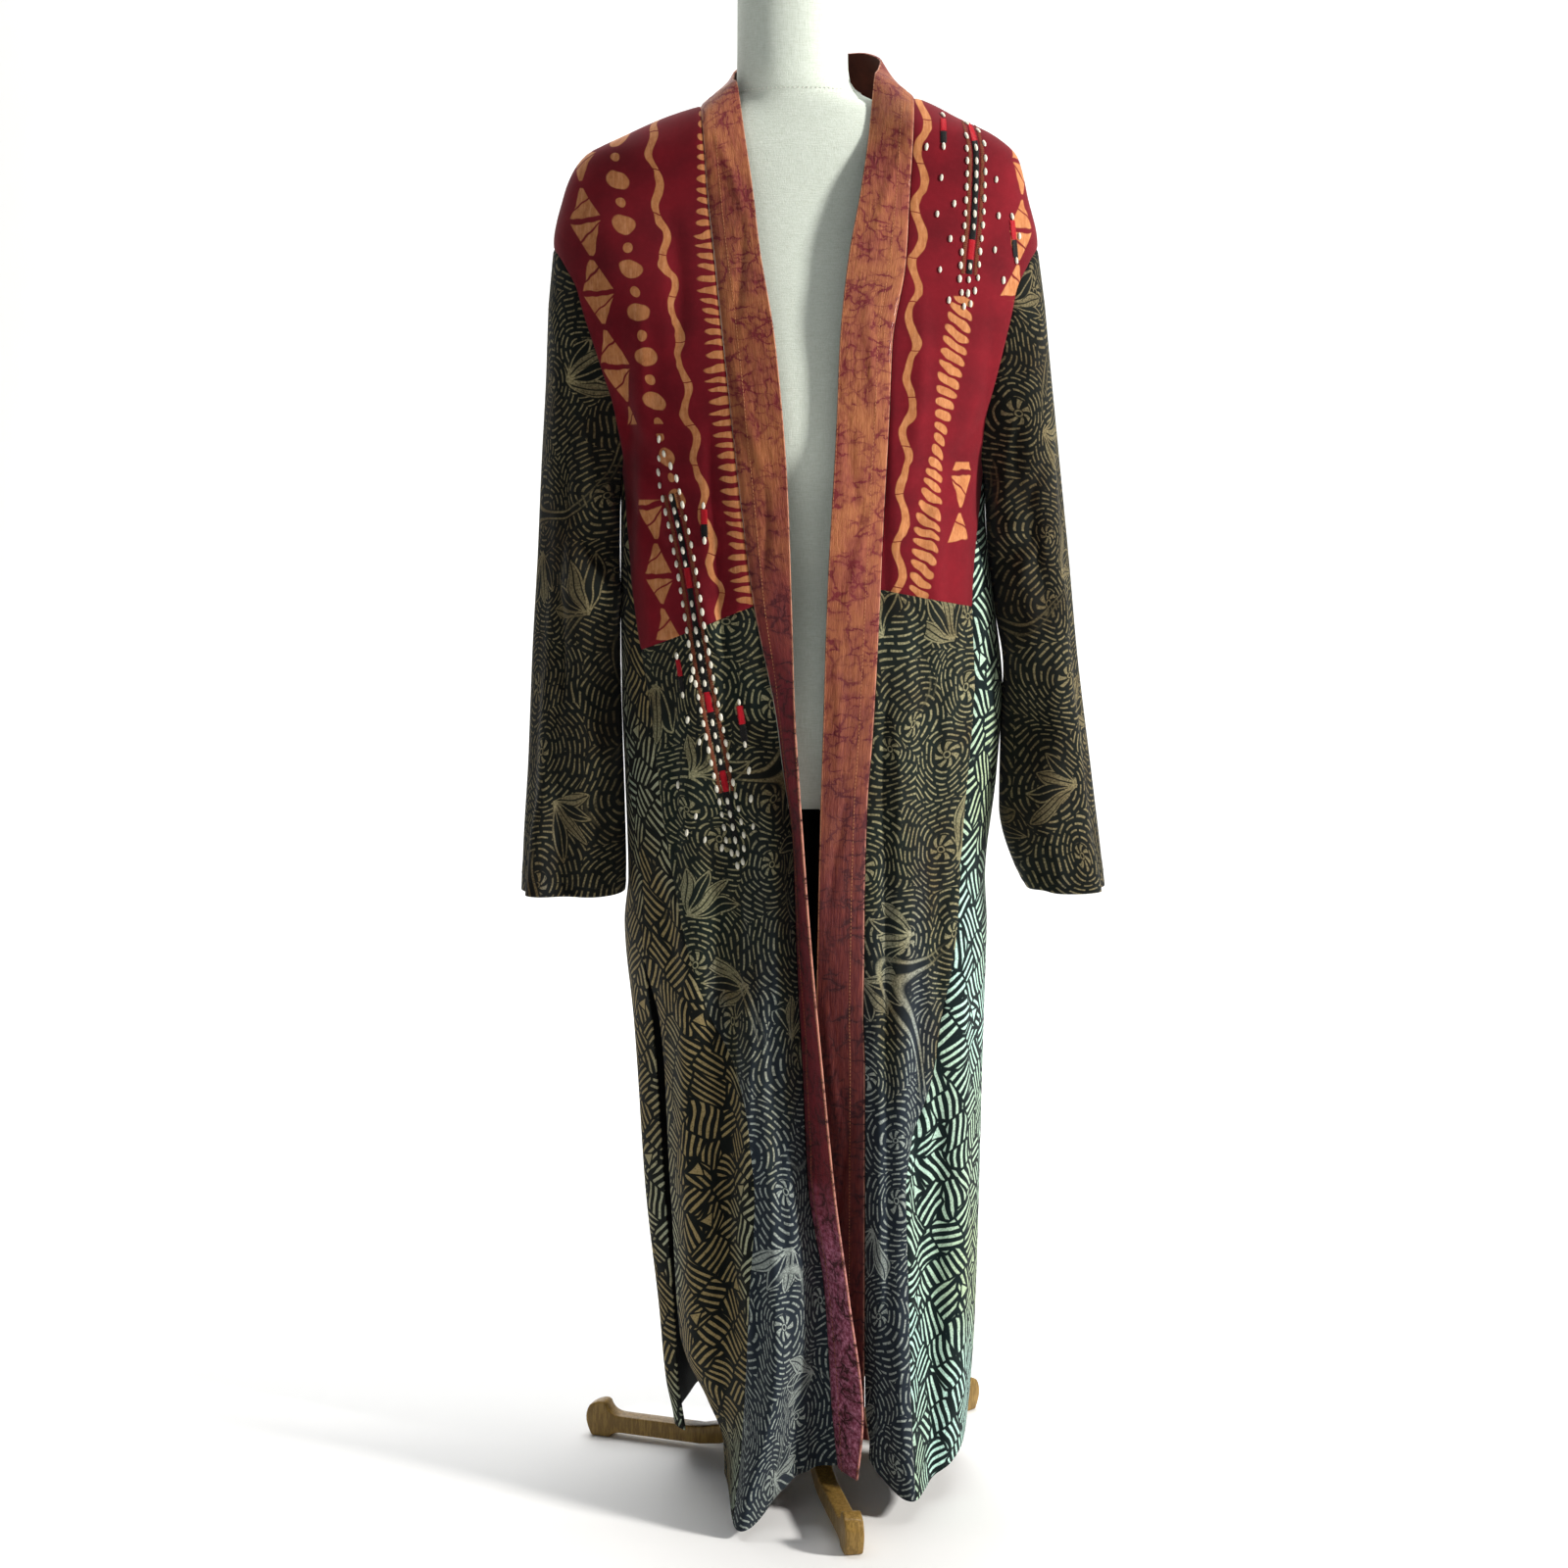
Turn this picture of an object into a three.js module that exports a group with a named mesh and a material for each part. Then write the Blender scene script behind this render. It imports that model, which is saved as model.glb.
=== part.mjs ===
// A long open-front patchwork kimono worn by a limbless dress form on a wooden tripod.
// Millimetres, +Z up, standing on Z = 0. The front faces -Y; "right" and "left" are the
// wearer's, so right lies towards -X. Every cloth piece is a thin wall cut from one
// shared surface: superelliptic sections, one per height, with folds added outwards.
import * as THREE from "three";

// ---- driving dimensions ----
const CLOTH = 1.6; // thickness of a cloth wall
const SEAM = 0.3; // gap left between two pieces that are sewn together
const FRAME_SHIFT = [-14, 40]; // from the form's own axes to the middle of the footprint
const POWER = 2.4; // roundness of the body sections, 2 being an ellipse
const CENTRE_Y = 5; // depth at which front and back meet, at the shoulder seam
const UNDERARM = 985; // height of the underarm point
const SHOULDER_END = 1205; // height at which the shoulder seam meets the sleeve
const BACK_YOKE_SEAM = 850; // height of the back yoke's lower seam
const YOKE_TOP_RIGHT = 1331; // height of the front yokes' points beside the neck
const YOKE_TOP_LEFT = 1339;
const NECK_RIGHT = 1332; // height of the back neck seam at the right shoulder and the nape
const NECK_LEFT = 1340.5; // and at the left shoulder
const RIGHT_HEM_TOP = 44; // highest point of each hem
const LEFT_HEM_TOP = 60;
const BACK_HEM_TOP = 50;
const RIGHT_YOKE_SEAM_TOP = 869; // ends of the front yokes' lower seams, beside the band
const RIGHT_YOKE_SEAM_END = 816; // and at the side
const LEFT_YOKE_SEAM_TOP = 884;
const LEFT_YOKE_SEAM_END = 861;
const UNDERARM_BLEND = 20; // height over which the armhole's edge leaves the underarm point
const NECK_TURN = 88; // angle round the neck from the nape to the shoulder seam
const FOLD_FADE = 1.6; // how soon a fold dies out towards the side of a section
const FOLD_SPREAD = 0.3; // share of a fold that also widens the section

// Heights at which neighbouring cloth pieces share a row of points.
const HEIGHTS = [62, 98, 140, 185, 230, 275, 313, 350, 387, 425, 465, 510, 555, 600, 650, 700, 750, 800,
  848, 864, 900, 945, 985, 1005, 1038, 1072, 1110, 1145, 1170, 1190, 1205, 1228, 1251, 1269, 1287, 1305,
  1323];
const ROW_MARGIN = 7; // least height between a shared row and a slanting edge

// Half widths and depths of the hanging cloth at each height. The back panel has its own
// side width, and below the slits its own depth where it wraps round to the front.
const BODY = table(
  ["z", "frontRight", "frontLeft", "sideRight", "sideLeft", "frontY", "backY", "wrapY"],
  [
    [0, 78, 163, 118, 163, -148, 128, -36],
    [43, 80, 167, 124, 167, -146, 127, -38],
    [90, 95, 172, 133, 172, -143, 126, -40],
    [160, 124, 176, 139, 176, -138, 124, -42],
    [285, 132, 179, 152, 179, -134, 121, -48],
    [408, 140, 181, 159, 181, -132, 118, -62],
    [455, 146, 182, 162, 182, -131, 117, -80],
    [555, 170, 184, 170, 184, -128, 114, -128],
    [600, 166, 182, 166, 182, -127, 113, -127],
    [700, 168.5, 192, 168.5, 192, -126, 110, -126],
    [784, 171, 197, 171, 197, -125.5, 107, -125.5],
    [860, 171, 189, 171, 189, -125, 105, -125],
    [920, 170.5, 181, 170.5, 181, -123.5, 104.5, -123.5],
    [985, 170, 178, 170, 178, -122, 104, -122],
    [1038, 186, 192, 186, 192, -117, 107, -117],
    [1092, 206, 208, 206, 208, -110, 110, -110],
    [1155, 226, 222, 226, 222, -95, 111, -95],
    [1205, 233, 227, 233, 227, -77, 108, -77],
    [1251, 223, 217, 223, 217, -64, 103, -64],
    [1269, 216, 213, 216, 213, -62, 100, -62],
    [1287, 203, 207, 203, 207, -61, 97, -61],
    [1305, 167, 187, 167, 187, -60, 93, -60],
    [1323, 125, 149, 125, 149, -57, 88, -57],
    [1333, 92, 130, 92, 130, -54, 84, -54],
    [1342, 62, 108, 62, 108, -52, 80, -52],
  ],
);

// X of the seam between front and band, and X and Y of the band's free edge.
const RIGHT_BAND = table(
  ["z", "seam", "free", "freeY"],
  [
    [40, 40, 56, -149],
    [98, 34, 61, -150],
    [220, 25, 47, -152],
    [317, 9, 34, -154],
    [435, 3, 22, -154],
    [529, -2, 13, -151],
    [643, -6, 4, -152],
    [719, -16, -1, -147],
    [774, -23, -4, -139],
    [868, -42, -7, -130],
    [979, -56, -11, -125],
    [1108, -70, -22, -112],
    [1192, -79, -36, -87],
    [1244, -85, -43, -66],
    [1295, -89, -52, -44],
    [1331, -92, -58, -26],
  ],
);
const LEFT_BAND = table(
  ["z", "seam", "free", "freeY"],
  [
    [68, 70, 22, -86],
    [102, 66, 19, -85],
    [238, 65, 17, -88],
    [428, 64, 17, -102],
    [490, 62, 17, -110],
    [582, 62, 18, -121],
    [682, 64, 20, -128],
    [751, 69, 22, -129],
    [886, 76, 26, -128],
    [1034, 83, 34, -119],
    [1108, 86, 37, -111],
    [1184, 99, 45, -89],
    [1244, 103, 57, -67],
    [1295, 106, 66, -42],
    [1339, 108, 71, -21],
  ],
);

// The standing collar's free edge, from the shoulder seam to the nape.
const COLLAR_COLUMNS = ["along", "x", "y", "z"];
const RIGHT_COLLAR = table(COLLAR_COLUMNS, [
  [0, -61.5, -4, 1357],
  [0.35, -61.5, 27, 1368],
  [0.7, -44, 61, 1384],
  [1, 4, 74, 1391],
]);
const LEFT_COLLAR = table(COLLAR_COLUMNS, [
  [0, 74, -3, 1366],
  [0.35, 78, 30, 1381],
  [0.7, 56, 63, 1393],
  [1, 4, 74, 1391],
]);

// X of the seams between front and side panel, and between back and side panel.
const SIDE_SEAMS = table(
  ["z", "frontRight", "frontLeft", "backRight", "backLeft"],
  [
    [0, 52, 106, 84, 112],
    [73, 53, 105, 84, 111],
    [114, 51, 104, 84, 110],
    [194, 47, 103, 84, 108],
    [313, 41, 100, 86, 108],
    [353, 44, 107, 90, 112],
    [390, 48, 120, 96, 118],
    [425, 60, 130, 103, 126],
    [473, 80, 136, 112, 136],
    [523, 97, 145, 124, 146],
    [572, 110, 151, 134, 154],
    [657, 127, 156, 148, 162],
    [754, 138, 164, 154, 167],
    [794, 144, 166, 156, 168],
    [860, 155, 165, 160, 172],
    [985, 168, 176, 168, 176],
  ],
);

// Angles round the section, 0 at the middle of the front and 90 at the side, of the side
// seam and of the free edges into which it opens below the slit's top.
const SIDE_EDGES = table(
  ["z", "frontRight", "frontLeft", "backRight", "backLeft"],
  [
    [0, 66, 84, 66, 88],
    [140, 66, 84, 60, 88],
    [300, 66, 84, 57, 88],
    [455, 62, 85, 58, 87],
    [555, 58.6, 86, 58.6, 86],
    [700, 72, 86, 72, 86],
    [860, 84, 86, 84, 86],
    [985, 90, 90, 90, 90],
  ],
);

// Half of the armhole's opening, as an angle round the section each way from the side.
const ARMHOLE = table(
  ["z", "front", "back"],
  [
    [985, 0, 0],
    [990, 8, 8],
    [1005, 17, 15],
    [1038, 24, 20],
    [1092, 27, 22],
    [1155, 26, 22],
    [1190, 16, 14],
    [1205, 0, 0],
  ],
);

// Hem height against the angle round the section, measured outwards on each side.
const RIGHT_HEM = table(["angle", "z"], [[-40, 44], [0, 34], [9, 28], [24, 10], [40, 8], [66, 12]]);
const LEFT_HEM = table(["angle", "z"], [[18, 60], [25, 34], [33, 21], [43, 20], [57, 32], [86, 54]]);
const BACK_HEM = table(["angle", "z"], [[57, 38], [100, 42], [140, 50], [180, 46]]);

// Height of the front yokes' lower seams against X.
const RIGHT_YOKE = table(["x", "z"], [[40, RIGHT_YOKE_SEAM_TOP], [150, 824], [170, RIGHT_YOKE_SEAM_END]]);
const LEFT_YOKE = table(["x", "z"], [[70, LEFT_YOKE_SEAM_TOP], [163, 865], [180, LEFT_YOKE_SEAM_END]]);

// Folds: a ridge (or, below zero, a trough) across each front and the back, by its X, how
// far it stands out and how wide it is at each height.
const RIGHT_FOLDS = [
  fold([[10, -45, 60, 15], [90, -28, 48, 16], [190, -15, 34, 18], [290, -16, 24, 20], [430, -28, 13, 20],
    [640, -24, 10, 14], [760, -40, 0, 16]]),
  fold([[10, 18, -38, 26], [98, 22, -33, 24], [220, 24, -27, 18], [317, 12, -22, 16], [435, 5, -20, 15],
    [529, 1, -21, 14], [643, -4, -21, 13], [719, -16, -11, 14], [790, -26, 0, 16]]),
  fold([[60, -88, 0, 16], [200, -92, 7, 16], [350, -104, 8, 17], [560, -96, 7, 18], [760, -104, 4, 20],
    [900, -112, 0, 20]]),
  fold([[150, -68, 0, 12], [300, -72, -9, 13], [480, -64, -7, 14], [700, -74, -4, 16], [850, -80, 0, 16]]),
];
const LEFT_FOLDS = [
  fold([[10, 60, -26, 18], [240, 58, -24, 18], [430, 56, -15, 18], [560, 54, -5, 18], [680, 56, 0, 18]]),
  fold([[10, 104, 24, 17], [120, 90, 22, 16], [300, 82, 14, 15], [480, 84, 5, 16], [640, 90, 0, 18]]),
  fold([[100, 124, 0, 10], [210, 122, -8, 10], [330, 114, -12, 11], [470, 112, -6, 13], [620, 118, 0, 14]]),
  fold([[10, 148, 7, 13], [240, 152, 8, 13], [460, 152, 5, 14], [700, 146, 0, 15]]),
  fold([[560, 100, 0, 13], [700, 96, 5, 14], [820, 104, 4, 15], [940, 112, 0, 16]]),
  fold([[560, 130, 0, 13], [690, 124, -5, 13], [850, 134, 0, 14]]),
];
const BACK_FOLDS = [
  fold([[40, -92, 12, 20], [400, -84, 9, 20], [800, -78, 4, 22], [1000, -76, 0, 22]]),
  fold([[40, -44, -11, 19], [400, -42, -8, 19], [820, -36, -3, 22], [1010, -32, 0, 22]]),
  fold([[40, 4, 13, 20], [400, 2, 9, 20], [800, 6, 4, 24], [1050, 8, 0, 24]]),
  fold([[40, 56, -10, 18], [400, 50, -8, 19], [820, 44, -3, 22], [1000, 40, 0, 22]]),
  fold([[40, 110, 11, 20], [400, 98, 8, 20], [800, 84, 4, 22], [980, 80, 0, 22]]),
];

// Sleeve sections below the armhole: inner and outer points, half depth and middle depth.
const SLEEVE_COLUMNS = ["ring", "innerX", "innerZ", "outerX", "outerZ", "halfDepth", "midY"];
const RIGHT_SLEEVE = table(SLEEVE_COLUMNS, [
  [1, -174, 955, -238, 1150, 66, 3],
  [2, -174.5, 914, -241, 1082, 69, 1],
  [3, -174, 862, -246, 1002, 70, -2],
  [4, -174, 800, -251, 912, 68, -5],
  [5, -172.5, 735, -257, 818, 65, -9],
  [6, -170.5, 664, -262, 712, 62, -13],
  [7, -169.5, 612, -267, 640, 60, -16],
  [8, -171, 583, -270, 578, 59, -17],
]);
const LEFT_SLEEVE = table(SLEEVE_COLUMNS, [
  [1, 182.5, 955, 234, 1150, 64, 3],
  [2, 185, 914, 241, 1080, 67, 1],
  [3, 192, 860, 250, 998, 69, -2],
  [4, 200, 800, 260, 910, 67, -6],
  [5, 198, 735, 270, 814, 65, -10],
  [6, 197, 668, 284, 706, 62, -15],
  [7, 211, 614, 292, 640, 59, -19],
  [8, 226, 587, 298, 584, 57, -21],
]);
const SLEEVE_POWER = 2.2;
const ARMHOLE_CLEAR_TOP = 2.2; // how far the sleeve starts outside the armhole's edge
const ARMHOLE_CLEAR_LOW = 3.4;

// Sleeve folds: place round the sleeve, start, middle and end along it, width and depth.
const SLEEVE_FOLD_SLANT = 0.12;
const RIGHT_SLEEVE_FOLDS = [
  { at: 0.27, start: 0.5, middle: 0.95, end: 1.05, width: 0.05, depth: -16 },
  { at: 0.16, start: 0.42, middle: 0.72, end: 1.0, width: 0.07, depth: 6 },
  { at: 0.36, start: 0.2, middle: 0.5, end: 0.8, width: 0.06, depth: -6 },
  { at: 0.75, start: 0.3, middle: 0.7, end: 1.0, width: 0.08, depth: -7 },
];
const LEFT_SLEEVE_FOLDS = [
  { at: 0.22, start: 0.3, middle: 0.52, end: 0.66, width: 0.07, depth: -9 },
  { at: 0.3, start: 0.5, middle: 0.64, end: 0.8, width: 0.06, depth: 8 },
  { at: 0.14, start: 0.62, middle: 0.9, end: 1.05, width: 0.06, depth: -8 },
  { at: 0.78, start: 0.3, middle: 0.7, end: 1.0, width: 0.08, depth: -7 },
];

// The dress form: middle, half width, front and back of each section from neck to base.
const FORM = table(
  ["z", "midX", "halfWidth", "frontY", "backY"],
  [
    [676, 8, 140, -96, 88],
    [690, 8, 151, -108, 98],
    [760, 8, 150, -112, 98],
    [830, 8, 138, -104, 86],
    [900, 8, 126, -96, 74],
    [960, 8, 130, -100, 76],
    [1020, 8, 140, -108, 84],
    [1080, 8, 150, -102, 92],
    [1150, 9, 158, -82, 98],
    [1210, 9, 168, -62, 97],
    [1260, 10, 171, -50, 90],
    [1298, 10, 166, -45, 84],
    [1310, 10, 154, -42, 80],
    [1320, 11, 136, -39, 76],
    [1330, 11, 108, -37, 71],
    [1336, 5, 78, -37, 64],
    [1343, 1, 62, -39, 60],
    [1356, -5, 54, -44, 57],
    [1372, -6, 52.5, -47, 56],
    [1436, -6, 52, -47, 56],
  ],
);
const FORM_POWER = 2.2;
const FORM_SPANS = 28; // points round each section
const FORM_HEIGHTS = [676, 682, 690, 720, 760, 800, 840, 880, 920, 960, 1000, 1040, 1080, 1120, 1160, 1200,
  1235, 1262, 1284, 1298, 1307, 1315, 1322, 1329, 1336, 1343, 1351, 1362, 1380, 1436];
const CAP_TOP = 1450;
const CAP_RADIUS = 51;
const CAP_STRAIGHT = 6; // upright part of the cap's side, below its rounded edge
const CAP_ROUND = 9; // how far the rounded edge comes in

// The stand: a pole, the hub round its foot and three curved legs with padded feet.
const POLE_X = 8;
const POLE_RADIUS = 12.5;
const POLE_FOOT = 142;
const HUB_RADIUS = 24;
const HUB_BOTTOM = 148;
const HUB_TOP = 214;
const HUB_CHAMFER = 6;
const LEG_REACH = 240; // from the pole's axis to the end of a foot
const LEG_THICKNESS = 18;
const LEG_DEPTH = 18;
const LEG_AZIMUTHS = [10.5, 130.5, 250.5]; // from the front, towards the wearer's left
const LEG_UNDER = 6; // clearance under the level part of a leg
const LEG_BEND = 112; // reach at which a leg's curve turns level
const FOOT_HEIGHT = 38;
const FOOT_PAD = 20; // length of the face a foot stands on
const FOOT_TIP = 8; // from the end of that face to the end of the foot
const FOOT_RISE = 14; // length over which a leg rises into its foot

// Columns of points across each body panel.
const COLUMNS = {
  yoke_front_right: 8,
  yoke_front_left: 8,
  yoke_back: 20,
  front_lower_right: 14,
  front_lower_left: 9,
  back_lower: 16,
  side_front_right: 6,
  side_front_left: 6,
  side_back_right: 6,
  side_back_left: 5,
};

// ---- curves through tables ----

// A table's columns as smooth curves against its first column, without overshoot.
function table(names, rows) {
  const at = rows.map((row) => row[0]);
  const curves = {};
  names.slice(1).forEach((name, k) => {
    const values = rows.map((row) => row[k + 1]);
    curves[name] = (x) => hermite(at, values, x);
  });
  curves.first = at[0];
  curves.last = at[at.length - 1];
  return curves;
}

function fold(rows) {
  return table(["z", "x", "height", "width"], rows);
}

function slopeBetween(before, after) {
  return before * after <= 0 ? 0 : (2 * before * after) / (before + after);
}

// Monotone cubic interpolation, level beyond both ends.
function hermite(at, values, x) {
  const last = at.length - 1;
  if (x <= at[0]) return values[0];
  if (x >= at[last]) return values[last];
  let i = 0;
  while (x > at[i + 1]) i += 1;
  const step = (k) => (values[k + 1] - values[k]) / (at[k + 1] - at[k]);
  const m0 = i === 0 ? step(0) : slopeBetween(step(i - 1), step(i));
  const m1 = i === last - 1 ? step(last - 1) : slopeBetween(step(i), step(i + 1));
  const h = at[i + 1] - at[i];
  const t = (x - at[i]) / h;
  const a = (1 + 2 * t) * (1 - t) * (1 - t);
  const b = t * (1 - t) * (1 - t) * h;
  const c = t * t * (3 - 2 * t);
  const d = t * t * (t - 1) * h;
  return a * values[i] + b * m0 + c * values[i + 1] + d * m1;
}

function constant(value) {
  return () => value;
}

function mix(a, b, t) {
  return a + (b - a) * t;
}

function radians(degrees) {
  return (degrees * Math.PI) / 180;
}

function signedPower(value, power) {
  return Math.sign(value) * Math.abs(value) ** power;
}

// ---- the body cloth's surface ----

// Angle round a section at which a point lies X away from the middle.
function angleAt(x, halfWidth) {
  const share = Math.min(Math.abs(x) / halfWidth, 1);
  return (Math.sign(x) * Math.asin(share ** (POWER / 2)) * 180) / Math.PI;
}

function foldHeight(folds, x, z) {
  let height = 0;
  for (const one of folds) {
    const reach = (x - one.x(z)) / one.width(z);
    height += one.height(z) * Math.exp(-reach * reach);
  }
  return height;
}

// One section's point: the angle runs outwards from the middle of the front, 180 at the
// middle of the back. The side is -1 for the wearer's right and +1 for the left.
function sectionPoint(angle, z, side, halfWidth, frontY, backY, folds) {
  const turn = radians(angle);
  const across = signedPower(Math.sin(turn), 2 / POWER);
  const along = signedPower(Math.cos(turn), 2 / POWER);
  const depth = along > 0 ? CENTRE_Y - frontY : backY - CENTRE_Y;
  const x = side * halfWidth * across;
  const y = CENTRE_Y - depth * along;
  const out = foldHeight(folds, x, z) * Math.min(1, FOLD_FADE * Math.abs(along));
  return new THREE.Vector3(x + side * out * across * FOLD_SPREAD, y - out * Math.sign(along), z);
}

function rightFront(angle, z) {
  return sectionPoint(angle, z, -1, BODY.frontRight(z), BODY.frontY(z), BODY.backY(z), RIGHT_FOLDS);
}

function leftFront(angle, z) {
  return sectionPoint(angle, z, 1, BODY.frontLeft(z), BODY.frontY(z), BODY.backY(z), LEFT_FOLDS);
}

// The back runs from 0 to 360 degrees through 180: over 180 lies on the wearer's left.
function back(angle, z) {
  const left = angle > 180;
  const side = left ? 1 : -1;
  const halfWidth = left ? BODY.sideLeft(z) : BODY.sideRight(z);
  const own = left ? 360 - angle : angle;
  const folds = own > 90 ? BACK_FOLDS : [];
  return sectionPoint(own, z, side, halfWidth, BODY.wrapY(z), BODY.backY(z), folds);
}

// ---- closed walls ----

// Both faces and all edges of a wall whose middle is a grid of points with its normals.
function wallGeometry(points, normals, closedRound) {
  const rows = points.length;
  const columns = points[0].length;
  const position = [];
  for (const half of [0.5, -0.5]) {
    for (let j = 0; j < rows; j += 1) {
      for (let i = 0; i < columns; i += 1) {
        const p = points[j][i].clone().addScaledVector(normals[j][i], half * CLOTH);
        position.push(p.x, p.y, p.z);
      }
    }
  }
  const index = [];
  const outer = (j, i) => j * columns + (i % columns);
  const inner = (j, i) => rows * columns + outer(j, i);
  const quad = (a, b, c, d) => index.push(a, b, c, a, c, d);
  const spans = closedRound ? columns : columns - 1;
  for (let j = 0; j < rows - 1; j += 1) {
    for (let i = 0; i < spans; i += 1) {
      quad(outer(j, i), outer(j, i + 1), outer(j + 1, i + 1), outer(j + 1, i));
      quad(inner(j, i), inner(j + 1, i), inner(j + 1, i + 1), inner(j, i + 1));
    }
  }
  for (let i = 0; i < spans; i += 1) {
    quad(outer(0, i), inner(0, i), inner(0, i + 1), outer(0, i + 1));
    quad(outer(rows - 1, i), outer(rows - 1, i + 1), inner(rows - 1, i + 1), inner(rows - 1, i));
  }
  if (!closedRound) {
    const end = columns - 1;
    for (let j = 0; j < rows - 1; j += 1) {
      quad(outer(j, 0), outer(j + 1, 0), inner(j + 1, 0), inner(j, 0));
      quad(outer(j, end), inner(j, end), inner(j + 1, end), outer(j + 1, end));
    }
  }
  return facingOut(position, index);
}

// An indexed geometry whose faces point outwards, turned round where they don't.
function facingOut(position, index) {
  const at = (k) => new THREE.Vector3().fromArray(position, 3 * k);
  let volume = 0;
  for (let k = 0; k < index.length; k += 3) {
    volume += at(index[k]).dot(at(index[k + 1]).cross(at(index[k + 2])));
  }
  if (volume < 0) index.reverse();
  const geometry = new THREE.BufferGeometry();
  geometry.setAttribute("position", new THREE.Float32BufferAttribute(position, 3));
  geometry.setIndex(index);
  geometry.computeVertexNormals();
  return geometry;
}

// Normals of a surface given by a function of two values, at one pair of them.
function surfaceNormal(surface, a, b, stepA, stepB) {
  const alongA = surface(a + stepA, b).sub(surface(a - stepA, b));
  const alongB = surface(a, b + stepB).sub(surface(a, b - stepB));
  return alongA.cross(alongB).normalize();
}

// Normals worked out from a grid of points alone.
function gridNormals(points, closedRound) {
  const rows = points.length;
  const columns = points[0].length;
  const clampRow = (j) => Math.min(Math.max(j, 0), rows - 1);
  const columnAt = (i) => (closedRound ? (i + columns) % columns : Math.min(Math.max(i, 0), columns - 1));
  return points.map((row, j) =>
    row.map((_, i) => {
      const round = points[j][columnAt(i + 1)].clone().sub(points[j][columnAt(i - 1)]);
      const up = points[clampRow(j + 1)][i].clone().sub(points[clampRow(j - 1)][i]);
      return round.cross(up).normalize();
    }),
  );
}

// A cloth panel cut from a surface: its sides are angles against height, its rows are
// heights against the angle and X, and a small gap is left along every seam.
function panel(surface, sides, rows, columns) {
  const points = [];
  const normals = [];
  for (const row of rows) {
    const places = Array.from({ length: columns + 1 }, (_, i) => placeOn(surface, sides, row, i / columns));
    points.push(places.map((place) => surface(place.angle, place.z)));
    normals.push(places.map((place) => surfaceNormal(surface, place.angle, place.z, 0.4, 1.5)));
  }
  return wallGeometry(points, normals, false);
}

// The rows of a panel: its lower edge, one row half way, the shared heights and its top.
function rowsBetween(bottom, highestBottom, lowestTop, top) {
  const shared = HEIGHTS.filter((z) => z > highestBottom + ROW_MARGIN && z < lowestTop - ROW_MARGIN);
  const lower = (angle, x) => bottom(angle, x) + SEAM / 2;
  const halfWay = (angle, x) => (bottom(angle, x) + shared[0]) / 2;
  const upper = (angle, x) => top(angle, x) - SEAM / 2;
  return [lower, halfWay, ...shared.map(constant), upper];
}

// Angle and height of a panel's point, from its row and its share of the width.
function placeOn(surface, sides, row, across) {
  let z = row(90, 100);
  let angle = 0;
  for (let round = 0; round < 6; round += 1) {
    const first = sides[0](z);
    const last = sides[1](z);
    const inset = stepAngle(surface, mix(first, last, across), z, SEAM / 2) * Math.sign(last - first);
    angle = mix(first + inset, last - inset, across);
    z = row(angle, Math.abs(surface(angle, z).x));
  }
  return { angle, z };
}

// A distance along the cloth, as an angle round the section.
function stepAngle(surface, angle, z, distance) {
  const perDegree = surface(angle + 0.5, z).distanceTo(surface(angle - 0.5, z));
  return distance / Math.max(perDegree, 0.3);
}

// ---- the pieces ----

const rightWidth = (z) => BODY.frontRight(z);
const leftWidth = (z) => BODY.frontLeft(z);
const rightBandAngle = (z) => angleAt(-RIGHT_BAND.seam(z), rightWidth(z));
const leftBandAngle = (z) => angleAt(LEFT_BAND.seam(z), leftWidth(z));

// The outer line of a front: side-panel seam, then armhole, then shoulder seam.
function outerLine(seamX, halfWidth, opening) {
  return (z) => {
    if (z < UNDERARM) return angleAt(seamX(z), halfWidth(z));
    return 90 - (z < SHOULDER_END ? Math.max(opening(z), underarmStep(z)) : 0);
  };
}

// The seams of the side panel run into the armhole, so the opening starts at their angle.
function underarmStep(z) {
  const start = 90 - angleAt(SIDE_SEAMS.frontRight(UNDERARM), BODY.frontRight(UNDERARM));
  return start * Math.max(0, 1 - (z - UNDERARM) / UNDERARM_BLEND);
}

// Height of the back neck seam: level on the right, rising to the left shoulder.
function backNeck(angle) {
  const turn = radians(Math.max(0, angle - 180));
  return mix(NECK_RIGHT, NECK_LEFT, Math.sin(turn) ** 2);
}

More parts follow.
